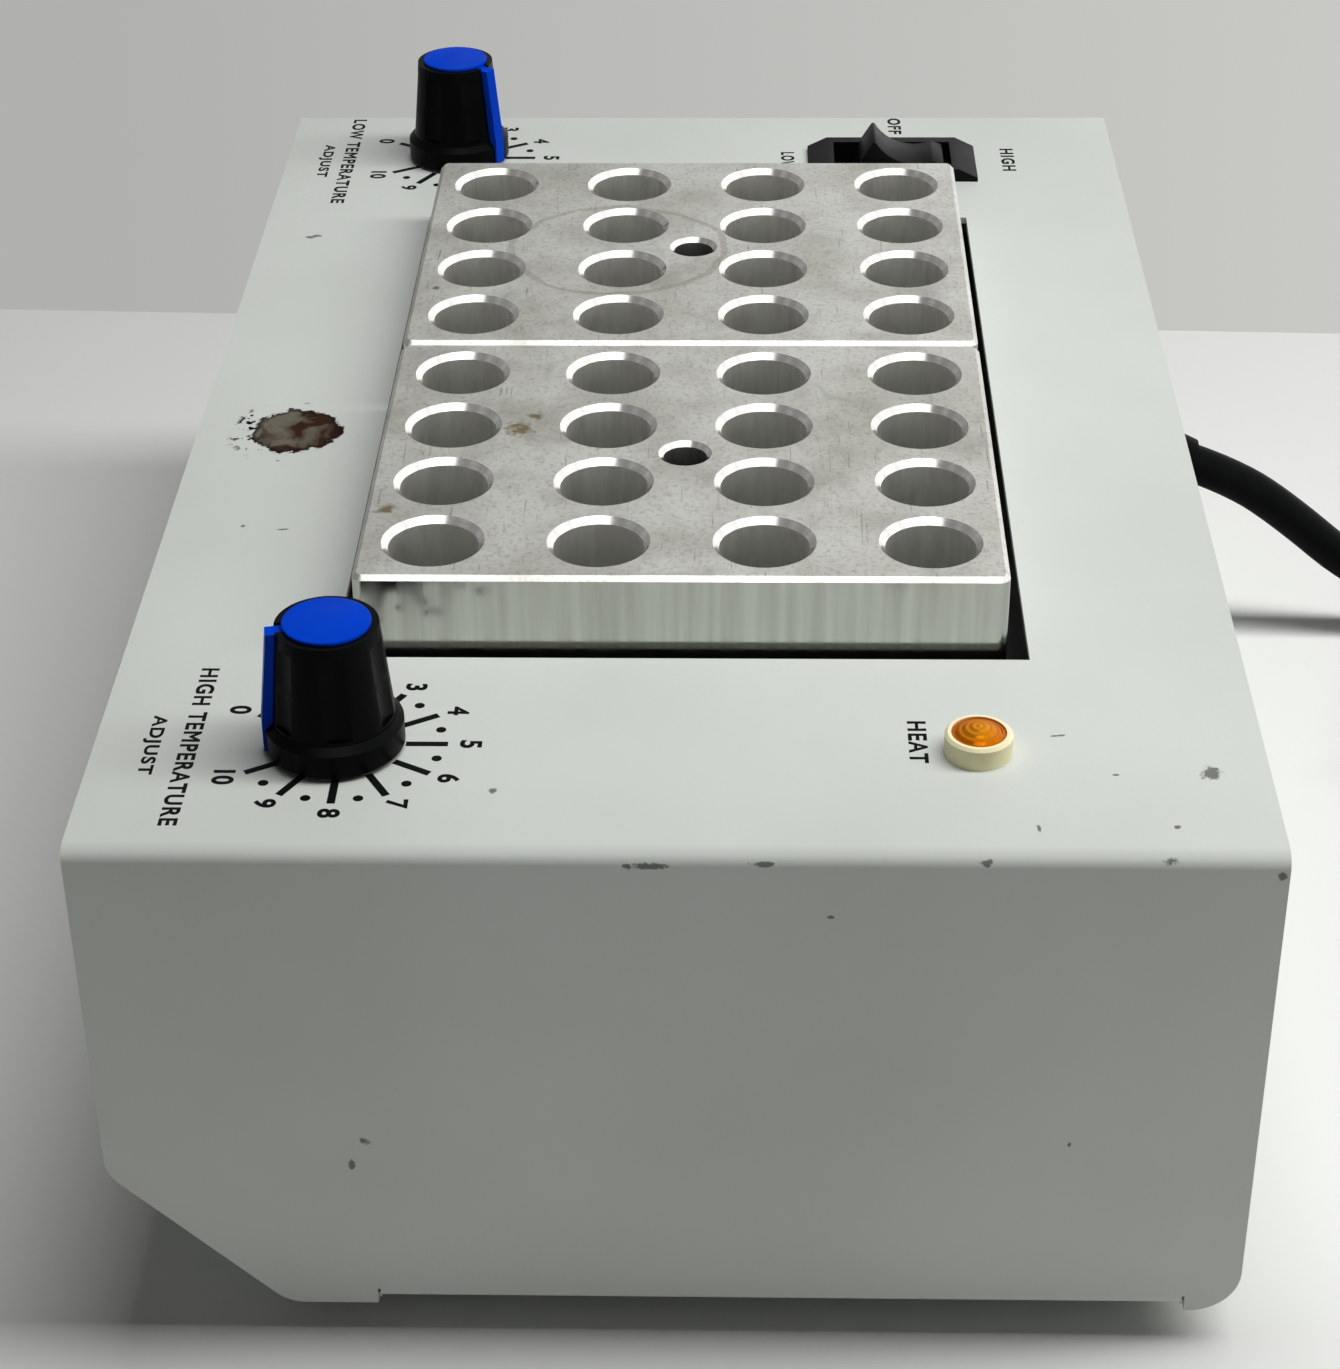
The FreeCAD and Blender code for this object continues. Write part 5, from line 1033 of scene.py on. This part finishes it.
class PRINT_OT_heater(bpy.types.Operator):
    """Printed dials and words on the panel"""

    bl_idname = "heater.print"
    bl_label = "Printing"

    bold = 0.036
    letter_space = 1.2
    squeeze = 1.05
    top_number = 10
    dot_points = 24
    dials = {"low": (-106.2, -47.2), "high": (103.0, -46.6)}
    # each word: group, middle and length
    words = [
        ("low", "LOW TEMPERATURE", (-105.0, -69.2), 42.0),
        ("low", "ADJUST", (-104.7, -74.0), 16.1),
        ("high", "HIGH TEMPERATURE", (103.3, -68.0), 39.6),
        ("high", "ADJUST", (103.5, -73.4), 14.9),
        ("switch", "LOW", (-105.1, 17.3), 8.0),
        ("switch", "OFF", (-122.5, 38.9), 8.2),
        ("switch", "HIGH", (-105.3, 60.5), 11.0),
        ("lamp", "HEAT", (101.9, 33.5), 10.5),
    ]

    def word(self, text, x, y, tall, wide=None):
        """A word as a thin mesh, its middle at a place on the panel."""
        sizes = settings("print")
        bpy.ops.object.text_add()
        thing = bpy.context.object
        thing.data.body = text
        # 1 deep, until the scale below brings it down to the ink's rise
        thing.data.extrude = 0.5
        if wide:
            thing.data.space_character = self.letter_space
        bpy.ops.object.convert(target="MESH")
        bpy.ops.object.mode_set(mode="EDIT")
        bpy.ops.mesh.select_all(action="SELECT")
        bpy.ops.mesh.remove_doubles(threshold=0.001)
        bpy.ops.transform.shrink_fatten(value=self.bold, use_even_offset=True)
        bpy.ops.object.mode_set(mode="OBJECT")
        low = Vector([min(v.co[axis] for v in thing.data.vertices) for axis in range(3)])
        high = Vector([max(v.co[axis] for v in thing.data.vertices) for axis in range(3)])
        upright = tall / (high.y - low.y)
        across = wide / (high.x - low.x) if wide else upright * self.squeeze
        thing.scale = (across, upright, sizes.ink_rise)
        middle = (low + high) / 2
        thing.location = (x - middle.x * across, y - middle.y * upright, self.top)
        return thing

    def ring(self, x, y):
        """The ticks and dots of a dial. One tick and one dot are modelled, and the rest are copies."""
        sizes = settings("print")
        reach = (sizes.tick_start + sizes.tick_end) / 2
        bpy.ops.mesh.primitive_cube_add(size=1)
        tick = bpy.context.object
        tick.scale = (sizes.tick_end - sizes.tick_start, sizes.tick_width, sizes.ink_rise)
        bpy.ops.object.transform_apply(location=False, rotation=False, scale=True)
        bpy.ops.mesh.primitive_cylinder_add(
            vertices=self.dot_points, radius=sizes.dot_across / 2, depth=sizes.ink_rise
        )
        dot = bpy.context.object
        for thing in (tick, dot):
            only(thing)
            bpy.ops.object.mode_set(mode="EDIT")
            bpy.ops.mesh.select_all(action="SELECT")
            bpy.ops.mesh.bevel(offset=sizes.ink_rise / 4, affect="EDGES")
            bpy.ops.object.mode_set(mode="OBJECT")
        made = []
        for number in range(2 * self.top_number + 1):
            first = dot if number % 2 else tick
            if number < 2:
                mark = first
            else:
                only(first)
                bpy.ops.object.duplicate()
                mark = bpy.context.object
            angle = sizes.zero_angle - number / 2 * sizes.step_angle
            away = sizes.dot_reach if number % 2 else reach
            mark.location = (x + away * math.cos(angle), y + away * math.sin(angle), self.top)
            mark.rotation_euler.z = angle
            made.append(mark)
        for number in range(self.top_number + 1):
            angle = sizes.zero_angle - number * sizes.step_angle
            across = x + (sizes.number_reach - sizes.number_squash) * math.cos(angle)
            up = y + sizes.number_reach * math.sin(angle)
            made.append(self.word(str(number), across, up, sizes.number_height))
        return made

    def execute(self, context):
        sizes = settings("print")
        self.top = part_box("cover")[1].z
        # screen-printed epoxy ink: flat black, worn a little thin in places
        tree, shader, place = new_material("panel_ink", Roughness=0.6, Specular_IOR_Level=0.06)
        thin = add(tree, "ShaderNodeTexNoise", {"Vector": place, "Scale": per(1.5), "Detail": 3})
        ink = settings("plastic").ink
        thinned = [3 * part for part in ink]
        tone = add(
            tree,
            "ShaderNodeMix",
            {0: thin.outputs["Fac"], 6: opaque(ink), 7: opaque(thinned)},
            data_type="RGBA",
        )
        tree.links.new(tone.outputs[2], shader.inputs["Base Color"])
        groups = {"low": [], "high": [], "switch": [], "lamp": []}
        for dial, (x, y) in self.dials.items():
            groups[dial] += self.ring(x * MM, y * MM)
        for group, text, (x, y), wide in self.words:
            groups[group].append(self.word(text, x * MM, y * MM, sizes.word_height, wide * MM))
        for group, things in groups.items():
            only(*things)
            if len(things) > 1:
                bpy.ops.object.join()
            print_mesh = context.object
            print_mesh.name = f"{group}_print"
            bpy.ops.object.transform_apply(location=True, rotation=True, scale=True)
            print_mesh.data.materials.clear()
            print_mesh.data.materials.append(bpy.data.materials["panel_ink"])
            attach(print_mesh, "case")
        return {"FINISHED"}


# Underside and inside


class FITTINGS_OT_heater(bpy.types.Operator):
    """Feet, screws, the well and everything inside the case"""

    bl_idname = "heater.fittings"
    bl_label = "Feet, well and inner pieces"

    # each finish: a light and a dark tone, metallic, roughness and the size of its cloud, which is coarse
    # enough to show
    finishes = {
        # moulded black rubber: dull and even
        "foot_rubber": ("#1B1C1C", "#262727", 0.0, 0.75, 2.0),
        # zinc-plated steel: a soft grey shine
        "zinc_steel": ("#A9A8A2", "#8C8B85", 1.0, 0.35, 1.5),
        # rolled stainless sheet: dull bright grey, darkened by heat
        "stainless_sheet": ("#8E8F8C", "#6F706D", 1.0, 0.38, 4.0),
        # plain milled aluminium: pale and satin
        "plate_aluminium": ("#C2C2BE", "#A5A5A0", 1.0, 0.4, 6.0),
        # pressed mica: brown and half glossy
        "mica_laminate": ("#8A7A5C", "#6E5F45", 0.0, 0.5, 5.0),
        # pressed ceramic fibre: off-white and quite matt
        "fibre_board": ("#DAD6C8", "#C4BFAE", 0.0, 0.95, 2.5),
        # moulded phenolic: dark brown with a faint shine
        "control_phenolic": ("#3A3530", "#2B2723", 0.0, 0.5, 3.0),
        # glass-fibre laminate under solder resist: deep green
        "board_laminate": ("#1F5A38", "#17452B", 0.0, 0.45, 4.0),
        # moulded nylon: blue-black and satin
        "board_plastic": ("#22262A", "#17191C", 0.0, 0.5, 2.0),
        # drawn brass: yellow and smooth
        "pin_brass": ("#B8975A", "#9C7E48", 1.0, 0.3, 2.0),
    }
    corners = ("left_front", "right_front", "right_back", "left_back")

    def nodes(self):
        """The nodes that each finish goes on. The brass is for the plug's pins, which the lead dresses."""
        return {
            "foot_rubber": [f"foot_{corner}" for corner in self.corners],
            "zinc_steel": [f"foot_screw_{corner}" for corner in self.corners]
            + [f"clamp_screw_{corner}" for corner in self.corners]
            + [f"pan_nut_{corner}" for corner in self.corners]
            + ["low_control_nut", "high_control_nut", "low_control_shaft", "high_control_shaft"]
            + ["temperature_sensor", "thermal_cutout", "lamp_clip"],
            "stainless_sheet": ["well_liner", "insulation_pan"],
            "plate_aluminium": ["heater_plate", "clamp_plate", "heat_sink"],
            "mica_laminate": ["heater_element"],
            "fibre_board": ["insulation_pad", "insulation_ring"],
            "control_phenolic": ["low_control_body", "high_control_body"],
            "board_laminate": ["circuit_board"],
            "board_plastic": ["triac", "terminal_block"] + [f"board_standoff_{n}" for n in range(1, 5)],
        }

    def execute(self, context):
        for name, (light, dark, metallic, roughness, grain) in self.finishes.items():
            tree, shader, place = new_material(name, Metallic=metallic)
            cloud = add(tree, "ShaderNodeTexNoise", {"Vector": place, "Scale": per(grain), "Detail": 5})
            tone = add(
                tree,
                "ShaderNodeMix",
                {0: cloud.outputs["Fac"], 6: opaque(linear(dark)), 7: opaque(linear(light))},
                data_type="RGBA",
            )
            tree.links.new(tone.outputs[2], shader.inputs["Base Color"])
            rough = add(
                tree,
                "ShaderNodeMapRange",
                {"Value": cloud.outputs["Fac"], "To Min": roughness - 0.1, "To Max": roughness + 0.1},
            )
            tree.links.new(rough.outputs[0], shader.inputs["Roughness"])
            bump = add(
                tree,
                "ShaderNodeBump",
                {"Height": cloud.outputs["Fac"], "Strength": 0.2, "Distance": 0.05 * MM},
            )
            tree.links.new(bump.outputs["Normal"], shader.inputs["Normal"])
        for name, nodes in self.nodes().items():
            coat(name, *nodes)
        return {"FINISHED"}


SETTINGS = {
    "case": CaseFinish,
    "block": BlockFinish,
    "plastic": PlasticFinish,
    "print": PrintSizes,
    "lead": LeadSizes,
    "stage": StageSettings,
}
OPERATORS = [
    STAGE_OT_heater,
    FITTINGS_OT_heater,
    LEAD_OT_heater,
    CASE_OT_heater,
    BLOCKS_OT_heater,
    CONTROLS_OT_heater,
    PRINT_OT_heater,
]


class HEATER_PT_pieces(bpy.types.Panel):
    """Lists the operators that dress the heater"""

    bl_idname = "HEATER_PT_pieces"
    bl_label = "Block heater"
    bl_space_type = "VIEW_3D"
    bl_region_type = "UI"
    bl_category = "Block heater"

    def draw(self, context):
        for operator in OPERATORS:
            self.layout.operator(operator.bl_idname)


def register():
    for name, group in SETTINGS.items():
        bpy.utils.register_class(group)
        setattr(bpy.types.Scene, f"heater_{name}", bpy.props.PointerProperty(type=group))
    for operator in OPERATORS:
        bpy.utils.register_class(operator)
    bpy.utils.register_class(HEATER_PT_pieces)


def unregister():
    bpy.utils.unregister_class(HEATER_PT_pieces)
    for operator in reversed(OPERATORS):
        bpy.utils.unregister_class(operator)
    for name, group in SETTINGS.items():
        delattr(bpy.types.Scene, f"heater_{name}")
        bpy.utils.unregister_class(group)


def main():
    register()
    bpy.ops.heater.stage()
    bpy.ops.heater.fittings()
    bpy.ops.heater.lead()
    bpy.ops.heater.case()
    bpy.ops.heater.blocks()
    bpy.ops.heater.controls()
    bpy.ops.heater.print()


if __name__ == "__main__":
    main()
